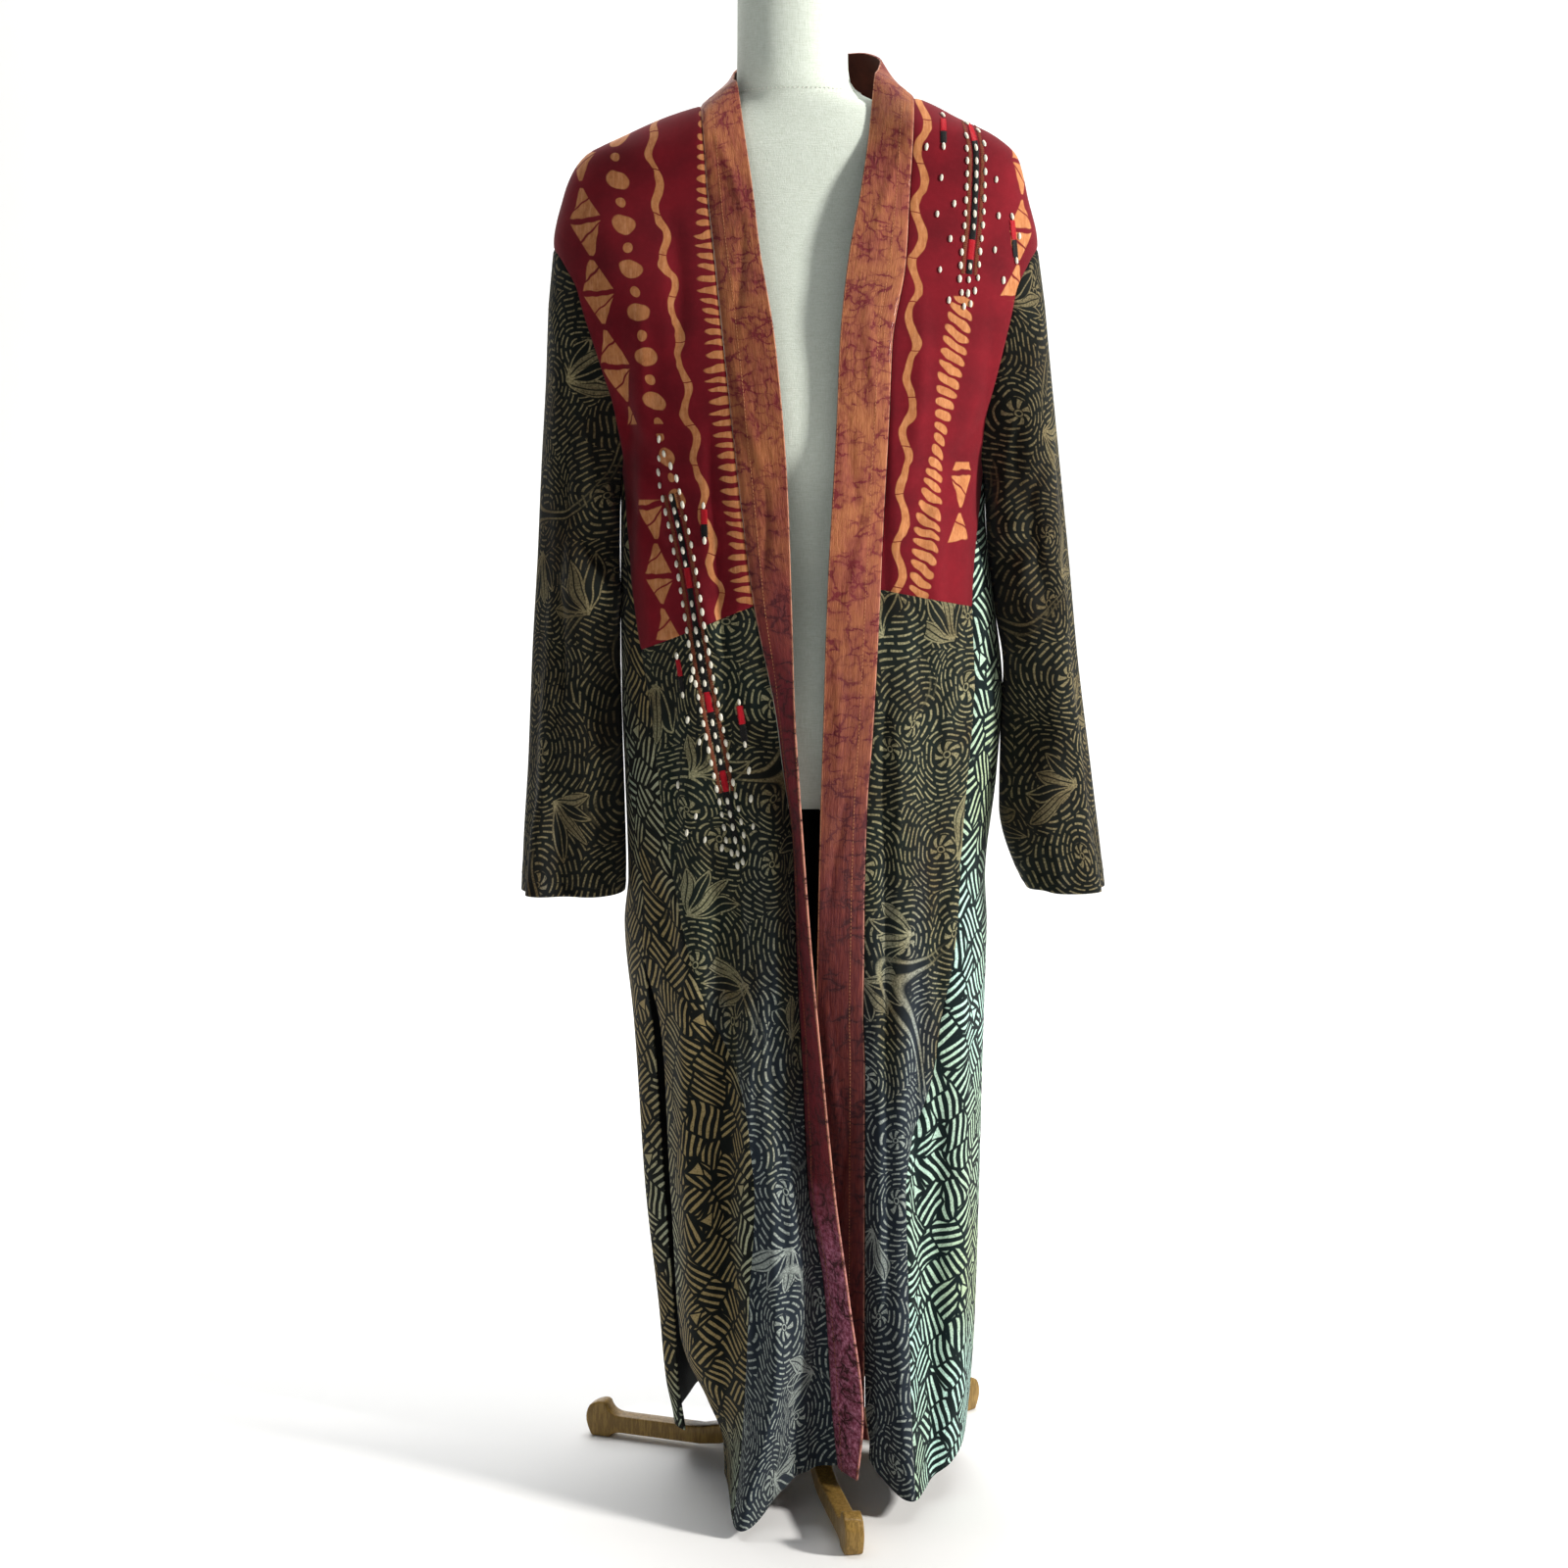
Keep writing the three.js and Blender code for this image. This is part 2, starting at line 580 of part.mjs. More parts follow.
function bodyPanels() {
  const frontRightSeam = outerLine(SIDE_SEAMS.frontRight, BODY.frontRight, ARMHOLE.front);
  const frontLeftSeam = outerLine(SIDE_SEAMS.frontLeft, BODY.frontLeft, ARMHOLE.front);
  const backRightSeam = (z) =>
    180 - outerLine(SIDE_SEAMS.backRight, BODY.sideRight, ARMHOLE.back)(z);
  const backLeftSeam = (z) =>
    180 + outerLine(SIDE_SEAMS.backLeft, BODY.sideLeft, ARMHOLE.back)(z);
  const rightHem = (angle) => RIGHT_HEM.z(angle);
  const leftHem = (angle) => LEFT_HEM.z(angle);
  const backHem = (angle) => BACK_HEM.z(angle > 180 ? 360 - angle : angle);
  const rightYoke = (_, x) => RIGHT_YOKE.z(x);
  const leftYoke = (_, x) => LEFT_YOKE.z(x);
  const backYoke = constant(BACK_YOKE_SEAM);
  const sideTop = constant(UNDERARM);
  const rightSlit = SIDE_EDGES.frontRight;
  const leftSlit = SIDE_EDGES.frontLeft;
  const backLeftSlit = (z) => 360 - SIDE_EDGES.backLeft(z);
  const cloth = [];
  const add = (name, colour, surface, sides, rows) => {
    cloth.push(piece(name, colour, panel(surface, sides, rows, COLUMNS[name])));
  };

  add("yoke_front_right", CRIMSON, rightFront, [rightBandAngle, frontRightSeam],
    rowsBetween(rightYoke, RIGHT_YOKE_SEAM_TOP, YOKE_TOP_RIGHT, constant(YOKE_TOP_RIGHT)));
  add("yoke_front_left", CRIMSON, leftFront, [leftBandAngle, frontLeftSeam],
    rowsBetween(leftYoke, LEFT_YOKE_SEAM_TOP, YOKE_TOP_LEFT, constant(YOKE_TOP_LEFT)));
  add("yoke_back", CRIMSON, back, [backRightSeam, backLeftSeam],
    rowsBetween(backYoke, BACK_YOKE_SEAM, NECK_RIGHT, backNeck));
  add("front_lower_right", LEAF_GREEN, rightFront, [rightBandAngle, frontRightSeam],
    rowsBetween(rightHem, RIGHT_HEM_TOP, RIGHT_YOKE_SEAM_END, rightYoke));
  add("front_lower_left", LEAF_GREEN, leftFront, [leftBandAngle, frontLeftSeam],
    rowsBetween(leftHem, LEFT_HEM_TOP, LEFT_YOKE_SEAM_END, leftYoke));
  add("back_lower", LEAF_GREEN, back, [backRightSeam, backLeftSeam],
    rowsBetween(backHem, BACK_HEM_TOP, BACK_YOKE_SEAM, backYoke));
  add("side_front_right", STRIPE_GREEN, rightFront, [frontRightSeam, rightSlit],
    rowsBetween(rightHem, RIGHT_HEM_TOP, UNDERARM, sideTop));
  add("side_front_left", STRIPE_GREEN, leftFront, [frontLeftSeam, leftSlit],
    rowsBetween(leftHem, LEFT_HEM_TOP, UNDERARM, sideTop));
  add("side_back_right", STRIPE_GREEN, back, [SIDE_EDGES.backRight, backRightSeam],
    rowsBetween(backHem, BACK_HEM_TOP, UNDERARM, sideTop));
  add("side_back_left", STRIPE_GREEN, back, [backLeftSlit, backLeftSeam],
    rowsBetween(backHem, BACK_HEM_TOP, UNDERARM, sideTop));
  return cloth;
}

// ---- sleeves ----

const SLEEVE_SPANS = 22;
const SLEEVE_ROWS = 22;

// A point of the armhole's edge, moved outwards so that the sleeve starts clear of it.
function armholePoint(side, turn) {
  const z = mix(UNDERARM, SHOULDER_END, (1 - Math.cos(2 * Math.PI * turn)) / 2);
  const isFront = turn < 0.5;
  const opening = isFront ? ARMHOLE.front(z) : ARMHOLE.back(z);
  let point;
  if (isFront) point = (side < 0 ? rightFront : leftFront)(90 - opening, z);
  else point = side < 0 ? back(90 + opening, z) : back(270 - opening, z);
  const low = (SHOULDER_END - z) / (SHOULDER_END - UNDERARM);
  point.x += side * mix(ARMHOLE_CLEAR_TOP, ARMHOLE_CLEAR_LOW, low * low);
  return point;
}

function sleeveSection(rings, ring, turn) {
  const cos = signedPower(Math.cos(2 * Math.PI * turn), 2 / SLEEVE_POWER);
  const sin = signedPower(Math.sin(2 * Math.PI * turn), 2 / SLEEVE_POWER);
  return new THREE.Vector3(
    mix(rings.innerX(ring), rings.outerX(ring), (1 - cos) / 2),
    rings.midY(ring) - sin * rings.halfDepth(ring),
    mix(rings.innerZ(ring), rings.outerZ(ring), (1 - cos) / 2),
  );
}

function sleeveFold(folds, turn, along) {
  let height = 0;
  for (const { at, start, middle, end, width, depth } of folds) {
    const rise = along < middle ? (along - start) / (middle - start) : (end - along) / (end - middle);
    const gap = Math.abs(turn - at + (along - middle) * SLEEVE_FOLD_SLANT);
    height += depth * Math.max(0, rise) * Math.exp(-((gap / width) ** 2));
  }
  return height;
}

function sleeve(side, rings, folds) {
  const points = [];
  for (let j = 0; j <= SLEEVE_ROWS; j += 1) {
    const ring = (rings.last * j) / SLEEVE_ROWS;
    points.push([]);
    for (let i = 0; i < SLEEVE_SPANS; i += 1) {
      const turn = i / SLEEVE_SPANS;
      const point = sleeveSection(rings, Math.max(ring, 1), turn);
      if (ring < 1) point.lerp(armholePoint(side, turn), 1 - ring);
      points[j].push(point);
    }
  }
  const normals = gridNormals(points, true);
  const folded = points.map((row, j) =>
    row.map((point, i) => {
      const out = sleeveFold(folds, i / SLEEVE_SPANS, j / SLEEVE_ROWS);
      return point.clone().addScaledVector(normals[j][i], -side * out);
    }),
  );
  return wallGeometry(folded, gridNormals(folded, true), true);
}

// ---- the band ----

const BAND_COLUMNS = 3;
const NECK_STEPS = 8;
const BAND_START = 1.3; // how far the band's wall starts from the seam line, clear of the panel's
const LAPEL_FROM = 1180; // height above which the band's free edge rises over its seam
const LAPEL_RISE = 22;

function band(side, edges, surface, seamAngle, collar) {
  const rows = [];
  const top = edges.last;
  const heights = HEIGHTS.filter((z) => z > edges.first + ROW_MARGIN && z < top - ROW_MARGIN);
  for (const z of [edges.first, ...heights, top]) {
    const angle = seamAngle(z);
    const seam = surface(angle - stepAngle(surface, angle, z, BAND_START), z);
    const rise = LAPEL_RISE * Math.max(0, (z - LAPEL_FROM) / (top - LAPEL_FROM)) ** 1.5;
    const free = new THREE.Vector3(edges.free(z), edges.freeY(z), z + rise);
    rows.push([seam, free]);
  }
  for (let k = 0; k <= NECK_STEPS; k += 1) {
    const t = k / NECK_STEPS;
    const angle = 180 + side * NECK_TURN * (1 - t);
    const seam = back(angle, backNeck(angle));
    const free = new THREE.Vector3(collar.x(t), collar.y(t), collar.z(t));
    seam.addScaledVector(free.clone().sub(seam).normalize(), BAND_START);
    rows.push([seam, free]);
  }
  const middle = collar.x(1);
  rows[rows.length - 1].forEach((p) => (p.x = middle + (side * SEAM) / 2));
  const points = rows.map(([seam, free]) => bandRow(seam, free));
  return wallGeometry(points, gridNormals(points, false), false);
}

function bandRow(seam, free) {
  const row = [];
  for (let i = 0; i <= BAND_COLUMNS; i += 1) {
    const t = i / BAND_COLUMNS;
    row.push(seam.clone().lerp(free, t));
  }
  return row;
}

// ---- the dress form and its stand ----

// A closed solid through rings of points, one above the other.
function loft(rings) {
  const columns = rings[0].length;
  const position = rings.flat().flatMap((p) => [p.x, p.y, p.z]);
  const index = [];
  for (let j = 0; j < rings.length - 1; j += 1) {
    for (let i = 0; i < columns; i += 1) {
      const a = j * columns + i;
      const b = j * columns + ((i + 1) % columns);
      index.push(a, b, b + columns, a, b + columns, a + columns);
    }
  }
  for (const [row, flip] of [[0, true], [rings.length - 1, false]]) {
    const centre = position.length / 3;
    const middle = new THREE.Vector3();
    rings[row].forEach((p) => middle.addScaledVector(p, 1 / columns));
    position.push(middle.x, middle.y, middle.z);
    for (let i = 0; i < columns; i += 1) {
      const a = row * columns + i;
      const b = row * columns + ((i + 1) % columns);
      if (flip) index.push(centre, b, a);
      else index.push(centre, a, b);
    }
  }
  return facingOut(position, index);
}

function formRing(z) {
  return Array.from({ length: FORM_SPANS }, (_, i) => {
    const turn = (2 * Math.PI * i) / FORM_SPANS;
    const across = signedPower(Math.sin(turn), 2 / FORM_POWER);
    const along = signedPower(Math.cos(turn), 2 / FORM_POWER);
    const middleY = (FORM.frontY(z) + FORM.backY(z)) / 2;
    const halfDepth = (FORM.backY(z) - FORM.frontY(z)) / 2;
    return new THREE.Vector3(FORM.midX(z) + FORM.halfWidth(z) * across, middleY - halfDepth * along, z);
  });
}

function neckCap() {
  const bottom = FORM.last + SEAM;
  const profile = [[0, bottom], [CAP_RADIUS, bottom], [CAP_RADIUS, bottom + CAP_STRAIGHT],
    [CAP_RADIUS - CAP_ROUND / 3, CAP_TOP - CAP_ROUND / 3], [CAP_RADIUS - CAP_ROUND, CAP_TOP], [0, CAP_TOP]];
  const cap = new THREE.LatheGeometry(profile.map(([r, z]) => new THREE.Vector2(r, z)), FORM_SPANS);
  cap.rotateX(Math.PI / 2);
  cap.translate(FORM.midX(FORM.last), (FORM.frontY(FORM.last) + FORM.backY(FORM.last)) / 2, 0);
  return cap;
}

function pole() {
  const length = FORM.first - SEAM - POLE_FOOT;
  const rod = new THREE.CylinderGeometry(POLE_RADIUS, POLE_RADIUS, length, 20);
  rod.rotateX(Math.PI / 2);
  rod.translate(POLE_X, 0, POLE_FOOT + length / 2);
  return rod;
}

function hub() {
  const bore = POLE_RADIUS + SEAM;
  const profile = [[bore, HUB_BOTTOM], [HUB_RADIUS, HUB_BOTTOM], [HUB_RADIUS, HUB_TOP - HUB_CHAMFER],
    [HUB_RADIUS - HUB_CHAMFER, HUB_TOP], [bore, HUB_TOP], [bore, HUB_BOTTOM]];
  const ring = new THREE.LatheGeometry(profile.map(([r, z]) => new THREE.Vector2(r, z)), 24);
  ring.rotateX(Math.PI / 2);
  ring.translate(POLE_X, 0, 0);
  return ring;
}

// One leg's side view: from the hub down in a curve, out along the floor and up into the foot.
function legGeometry() {
  const root = HUB_RADIUS + SEAM;
  const level = LEG_DEPTH + LEG_UNDER;
  const soleEnd = LEG_REACH - FOOT_TIP;
  const soleStart = soleEnd - FOOT_PAD;
  const rise = soleStart - FOOT_RISE;
  const side = new THREE.Shape();
  side.moveTo(root, HUB_TOP - 10);
  side.bezierCurveTo(root + 14, 90, LEG_BEND / 2, level + 3, LEG_BEND, level);
  side.lineTo(rise, level);
  side.quadraticCurveTo(rise + FOOT_RISE, level, rise + FOOT_RISE + 3, FOOT_HEIGHT - 3);
  side.quadraticCurveTo(soleStart + FOOT_TIP, FOOT_HEIGHT + 3, LEG_REACH - 6, FOOT_HEIGHT - 6);
  side.quadraticCurveTo(LEG_REACH + 3, FOOT_HEIGHT / 2, soleEnd, 0);
  side.lineTo(soleStart, 0);
  side.quadraticCurveTo(soleStart - 2, LEG_UNDER, rise, LEG_UNDER);
  side.lineTo(LEG_BEND, LEG_UNDER);
  side.bezierCurveTo(LEG_BEND / 2, LEG_UNDER + 2, root + 3, 42, root, HUB_BOTTOM + 6);
  side.closePath();
  const leg = new THREE.ExtrudeGeometry(side, {
    depth: LEG_THICKNESS,
    bevelEnabled: false,
    curveSegments: 7,
  });
  leg.translate(0, 0, -LEG_THICKNESS / 2);
  leg.rotateX(Math.PI / 2);
  return leg;
}

// ---- assembly ----

const CRIMSON = 0x7d1522;
const LEAF_GREEN = 0x2b332a;
const STRIPE_GREEN = 0x59664a;
const COPPER = 0xa9633a;
const LINEN = 0xe2e2d4;
const WOOD = 0x8f6c33;
const BLACK_PAINT = 0x171617;

function piece(name, colour, geometry, roughness = 0.9) {
  const material = new THREE.MeshStandardMaterial({ color: colour, roughness, metalness: 0 });
  const mesh = new THREE.Mesh(geometry, material);
  mesh.name = name;
  return mesh;
}

function garment() {
  const group = new THREE.Group();
  group.add(...bodyPanels());
  group.add(piece("sleeve_right", LEAF_GREEN, sleeve(-1, RIGHT_SLEEVE, RIGHT_SLEEVE_FOLDS)));
  group.add(piece("sleeve_left", LEAF_GREEN, sleeve(1, LEFT_SLEEVE, LEFT_SLEEVE_FOLDS)));
  group.add(piece("band_right", COPPER, band(-1, RIGHT_BAND, rightFront, rightBandAngle, RIGHT_COLLAR), 0.6));
  group.add(piece("band_left", COPPER, band(1, LEFT_BAND, leftFront, leftBandAngle, LEFT_COLLAR), 0.6));
  return group;
}

function standAndForm() {
  const group = new THREE.Group();
  group.add(piece("form_torso", LINEN, loft(FORM_HEIGHTS.map(formRing))));
  group.add(piece("form_neck_cap", LINEN, neckCap(), 0.5));
  group.add(piece("stand_pole", BLACK_PAINT, pole(), 0.4));
  group.add(piece("stand_hub", WOOD, hub(), 0.5));
  LEG_AZIMUTHS.forEach((azimuth, k) => {
    const leg = piece(`stand_leg_${k + 1}`, WOOD, legGeometry(), 0.5);
    leg.rotation.z = radians(azimuth - 90);
    leg.position.x = POLE_X;
    group.add(leg);
  });
  return group;
}

const kimonoOnForm = new THREE.Group();
kimonoOnForm.add(garment(), standAndForm());
kimonoOnForm.position.set(FRAME_SHIFT[0], FRAME_SHIFT[1], 0);

export default kimonoOnForm;
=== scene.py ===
"""A long patchwork kimono with batik yokes, worn by a linen dress form on a wooden tripod."""

import logging
import math
from dataclasses import dataclass, field
from enum import Enum
from functools import partial
from types import SimpleNamespace
from typing import Callable, ClassVar, Iterable, Sequence

import bmesh
import bpy
import numpy as np
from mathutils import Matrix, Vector

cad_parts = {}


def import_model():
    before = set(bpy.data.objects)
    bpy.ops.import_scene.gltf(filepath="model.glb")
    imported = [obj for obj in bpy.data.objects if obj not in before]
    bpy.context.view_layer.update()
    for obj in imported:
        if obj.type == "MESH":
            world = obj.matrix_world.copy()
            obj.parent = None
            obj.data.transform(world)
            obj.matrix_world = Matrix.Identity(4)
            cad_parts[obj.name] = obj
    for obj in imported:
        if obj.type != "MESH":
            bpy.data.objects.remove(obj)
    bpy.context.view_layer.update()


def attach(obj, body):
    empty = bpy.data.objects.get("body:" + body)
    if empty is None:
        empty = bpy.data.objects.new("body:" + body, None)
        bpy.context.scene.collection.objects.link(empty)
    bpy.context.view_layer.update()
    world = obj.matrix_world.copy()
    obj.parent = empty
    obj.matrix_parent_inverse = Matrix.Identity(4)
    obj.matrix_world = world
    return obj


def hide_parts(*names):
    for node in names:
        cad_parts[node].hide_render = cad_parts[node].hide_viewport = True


Array = np.ndarray
Spot = tuple[float, float, float]
Line = Callable[[Array], Array]
Height = Callable[[Array, Array], Array]

LOG = logging.getLogger("kimono")

# Lengths are in millimetres and angles in degrees, but for sizes of stitches and lamps, in metres.
MM = 0.001
PER_METRE = 1000.0
FRAME_SHIFT = np.array([-14.0, 40.0, 0.0])

# The cloth's thickness, and how its edges are made.
CLOTH = 1.1
SEAM_DIP, SEAM_REACH = 0.85, 2.2
HEM_HALF, HEM_REACH, HEM_SOFT, CUFF_REACH = 0.4, 9.0, 0.9, 18.0

# The body's sections, and the heights of its seams.
POWER, CENTRE_Y = 2.4, 5.0
FOLD_FADE, FOLD_SPREAD = 1.6, 0.3
UNDERARM, UNDERARM_BLEND, SHOULDER_END = 985.0, 20.0, 1205.0
BACK_YOKE_SEAM = 850.0
YOKE_TOP_RIGHT, YOKE_TOP_LEFT = 1331.0, 1339.0
NECK_RIGHT, NECK_LEFT, NECK_TURN = 1332.0, 1340.5, 88.0


class Side(Enum):
    """The wearer's side, by the sign of its X."""

    RIGHT = -1
    LEFT = 1


class Edge(Enum):
    """How a panel's edge is finished."""

    SEWN = "sewn"
    HEMMED = "hemmed"


class Curve:
    """A smooth curve through a short column of values, level beyond both ends."""

    def __init__(self, at: Sequence[float], values: Sequence[float]) -> None:
        """Works out the slopes at the column's rows."""
        self.at = np.asarray(at, float)
        self.values = np.asarray(values, float)
        step = np.diff(self.values) / np.diff(self.at)
        product = step[:-1] * step[1:]
        total = np.where(product > 0, step[:-1] + step[1:], 1.0)
        inner = np.where(product > 0, 2 * product / total, 0.0)
        self.slopes = np.concatenate([step[:1], inner, step[-1:]])

    def __call__(self, x: Array | float) -> Array:
        """The curve's values at x."""
        x = np.clip(x, self.at[0], self.at[-1])
        i = np.clip(np.searchsorted(self.at, x, side="right") - 1, 0, len(self.at) - 2)
        h = self.at[i + 1] - self.at[i]
        t = (x - self.at[i]) / h
        return (
            (1 + 2 * t) * (1 - t) ** 2 * self.values[i]
            + t * (1 - t) ** 2 * h * self.slopes[i]
            + t * t * (3 - 2 * t) * self.values[i + 1]
            + t * t * (t - 1) * h * self.slopes[i + 1]
        )


def table(names: str, rows: Sequence[Sequence[float]]) -> SimpleNamespace:
    """Curves for a table's columns against its first one.

    Args:
        names: The columns' names, the first being the one they run against.
        rows: The table's rows.

    Returns:
        A namespace with one curve a column, and the first column's ends.
    """
    columns = list(zip(*rows))
    curves = {n: Curve(columns[0], c) for n, c in zip(names.split()[1:], columns[1:])}
    return SimpleNamespace(first=rows[0][0], last=rows[-1][0], **curves)


BODY = table(
    "z front_right front_left side_right side_left front_y back_y wrap_y",
    [
        [0, 78, 163, 118, 163, -148, 128, -36], [43, 80, 167, 124, 167, -146, 127, -38],
        [90, 95, 172, 133, 172, -143, 126, -40], [160, 124, 176, 139, 176, -138, 124, -42],
        [285, 132, 179, 152, 179, -134, 121, -48], [408, 140, 181, 159, 181, -132, 118, -62],
        [455, 146, 182, 162, 182, -131, 117, -80], [555, 170, 184, 170, 184, -128, 114, -128],
        [600, 166, 182, 166, 182, -127, 113, -127], [700, 168.5, 192, 168.5, 192, -126, 110, -126],
        [784, 171, 197, 171, 197, -125.5, 107, -125.5], [860, 171, 189, 171, 189, -125, 105, -125],
        [920, 170.5, 181, 170.5, 181, -123.5, 104.5, -123.5], [985, 170, 178, 170, 178, -122, 104, -122],
        [1038, 186, 192, 186, 192, -117, 107, -117], [1092, 206, 208, 206, 208, -110, 110, -110],
        [1155, 226, 222, 226, 222, -95, 111, -95], [1205, 233, 227, 233, 227, -77, 108, -77],
        [1251, 223, 217, 223, 217, -64, 103, -64], [1269, 216, 213, 216, 213, -62, 100, -62],
        [1287, 203, 207, 203, 207, -61, 97, -61], [1305, 167, 187, 167, 187, -60, 93, -60],
        [1323, 125, 149, 125, 149, -57, 88, -57], [1333, 92, 130, 92, 130, -54, 84, -54],
        [1342, 62, 108, 62, 108, -52, 80, -52],
    ],
)
RIGHT_BAND = table(
    "z seam free free_y",
    [
        [40, 40, 56, -149], [98, 34, 61, -150], [220, 25, 47, -152], [317, 9, 34, -154],
        [435, 3, 22, -154], [529, -2, 13, -151], [643, -6, 4, -152], [719, -16, -1, -147],
        [774, -23, -4, -139], [868, -42, -7, -130], [979, -56, -11, -125], [1108, -70, -22, -112],
        [1192, -79, -36, -87], [1244, -85, -43, -66], [1295, -89, -52, -44], [1331, -92, -58, -26],
    ],
)
LEFT_BAND = table(
    "z seam free free_y",
    [
        [68, 70, 22, -86], [102, 66, 19, -85], [238, 65, 17, -88], [428, 64, 17, -102],
        [490, 62, 17, -110], [582, 62, 18, -121], [682, 64, 20, -128], [751, 69, 22, -129],
        [886, 76, 26, -128], [1034, 83, 34, -119], [1108, 86, 37, -111], [1184, 99, 45, -89],
        [1244, 103, 57, -67], [1295, 106, 66, -42], [1339, 108, 71, -21],
    ],
)
RIGHT_COLLAR = table(
    "along x y z",
    [[0, -61.5, -4, 1357], [0.35, -61.5, 27, 1368], [0.7, -44, 61, 1384], [1, 4, 74, 1391]],
)
LEFT_COLLAR = table(
    "along x y z",
    [[0, 74, -3, 1366], [0.35, 78, 30, 1381], [0.7, 56, 63, 1393], [1, 4, 74, 1391]],
)
SIDE_SEAMS = table(
    "z front_right front_left back_right back_left",
    [
        [0, 52, 106, 84, 112], [73, 53, 105, 84, 111], [114, 51, 104, 84, 110], [194, 47, 103, 84, 108],
        [313, 41, 100, 86, 108], [353, 44, 107, 90, 112], [390, 48, 120, 96, 118], [425, 60, 130, 103, 126],
        [473, 80, 136, 112, 136], [523, 97, 145, 124, 146], [572, 110, 151, 134, 154],
        [657, 127, 156, 148, 162], [754, 138, 164, 154, 167], [794, 144, 166, 156, 168],
        [860, 155, 165, 160, 172], [985, 168, 176, 168, 176],
    ],
)
SIDE_EDGES = table(
    "z front_right front_left back_right back_left",
    [
        [0, 66, 84, 66, 88], [140, 66, 84, 60, 88], [300, 66, 84, 57, 88], [455, 62, 85, 58, 87],
        [555, 58.6, 86, 58.6, 86], [700, 72, 86, 72, 86], [860, 84, 86, 84, 86], [985, 90, 90, 90, 90],
    ],
)
ARMHOLE = table(
    "z front back",
    [
        [985, 0, 0], [990, 8, 8], [1005, 17, 15], [1038, 24, 20], [1092, 27, 22], [1155, 26, 22],
        [1190, 16, 14], [1205, 0, 0],
    ],
)
RIGHT_HEM = table("angle z", [[-40, 44], [0, 34], [9, 28], [24, 10], [40, 8], [66, 12]])
LEFT_HEM = table("angle z", [[18, 60], [25, 34], [33, 21], [43, 20], [57, 32], [86, 54]])
BACK_HEM = table("angle z", [[57, 38], [100, 42], [140, 50], [180, 46]])
RIGHT_YOKE = table("x z", [[40, 869], [150, 824], [170, 816]])
LEFT_YOKE = table("x z", [[70, 884], [163, 865], [180, 861]])


def long_folds(*folds: Sequence[Sequence[float]]) -> tuple[SimpleNamespace, ...]:
    """Long folds, each by its X, height and width at each height of the cloth."""
    return tuple(table("z x height width", rows) for rows in folds)


RIGHT_FOLDS = long_folds(
    [
        [10, -45, 60, 15], [90, -28, 48, 16], [190, -15, 34, 18], [290, -16, 24, 20], [430, -28, 13, 20],
        [640, -24, 10, 14], [760, -40, 0, 16],
    ],
    [
        [10, 18, -38, 26], [98, 22, -33, 24], [220, 24, -27, 18], [317, 12, -22, 16], [435, 5, -20, 15],
        [529, 1, -21, 14], [643, -4, -21, 13], [719, -16, -11, 14], [790, -26, 0, 16],
    ],
    [
        [60, -88, 0, 16], [200, -92, 7, 16], [350, -104, 8, 17], [560, -96, 7, 18], [760, -104, 4, 20],
        [900, -112, 0, 20],
    ],
    [[150, -68, 0, 12], [300, -72, -9, 13], [480, -64, -7, 14], [700, -74, -4, 16], [850, -80, 0, 16]],
)
LEFT_FOLDS = long_folds(
    [[10, 60, -26, 18], [240, 58, -24, 18], [430, 56, -15, 18], [560, 54, -5, 18], [680, 56, 0, 18]],
    [[10, 104, 24, 17], [120, 90, 22, 16], [300, 82, 14, 15], [480, 84, 5, 16], [640, 90, 0, 18]],
    [[100, 124, 0, 10], [210, 122, -8, 10], [330, 114, -12, 11], [470, 112, -6, 13], [620, 118, 0, 14]],
    [[10, 148, 7, 13], [240, 152, 8, 13], [460, 152, 5, 14], [700, 146, 0, 15]],
    [[560, 100, 0, 13], [700, 96, 5, 14], [820, 104, 4, 15], [940, 112, 0, 16]],
    [[560, 130, 0, 13], [690, 124, -5, 13], [850, 134, 0, 14]],
)
BACK_FOLDS = long_folds(
    [[40, -92, 12, 20], [400, -84, 9, 20], [800, -78, 4, 22], [1000, -76, 0, 22]],
    [[40, -44, -11, 19], [400, -42, -8, 19], [820, -36, -3, 22], [1010, -32, 0, 22]],
    [[40, 4, 13, 20], [400, 2, 9, 20], [800, 6, 4, 24], [1050, 8, 0, 24]],
    [[40, 56, -10, 18], [400, 50, -8, 19], [820, 44, -3, 22], [1000, 40, 0, 22]],
    [[40, 110, 11, 20], [400, 98, 8, 20], [800, 84, 4, 22], [980, 80, 0, 22]],
)
SLEEVE_NAMES = "ring inner_x inner_z outer_x outer_z half_depth mid_y"
RIGHT_SLEEVE = table(
    SLEEVE_NAMES,
    [
        [1, -174, 955, -238, 1150, 66, 3], [2, -174.5, 914, -241, 1082, 69, 1],
        [3, -174, 862, -246, 1002, 70, -2], [4, -174, 800, -251, 912, 68, -5],
        [5, -172.5, 735, -257, 818, 65, -9], [6, -170.5, 664, -262, 712, 62, -13],
        [7, -169.5, 612, -267, 640, 60, -16], [8, -171, 583, -270, 578, 59, -17],
    ],
)
LEFT_SLEEVE = table(
    SLEEVE_NAMES,
    [
        [1, 182.5, 955, 234, 1150, 64, 3], [2, 185, 914, 241, 1080, 67, 1], [3, 192, 860, 250, 998, 69, -2],
        [4, 200, 800, 260, 910, 67, -6], [5, 198, 735, 270, 814, 65, -10], [6, 197, 668, 284, 706, 62, -15],
        [7, 211, 614, 292, 640, 59, -19], [8, 226, 587, 298, 584, 57, -21],
    ],
)
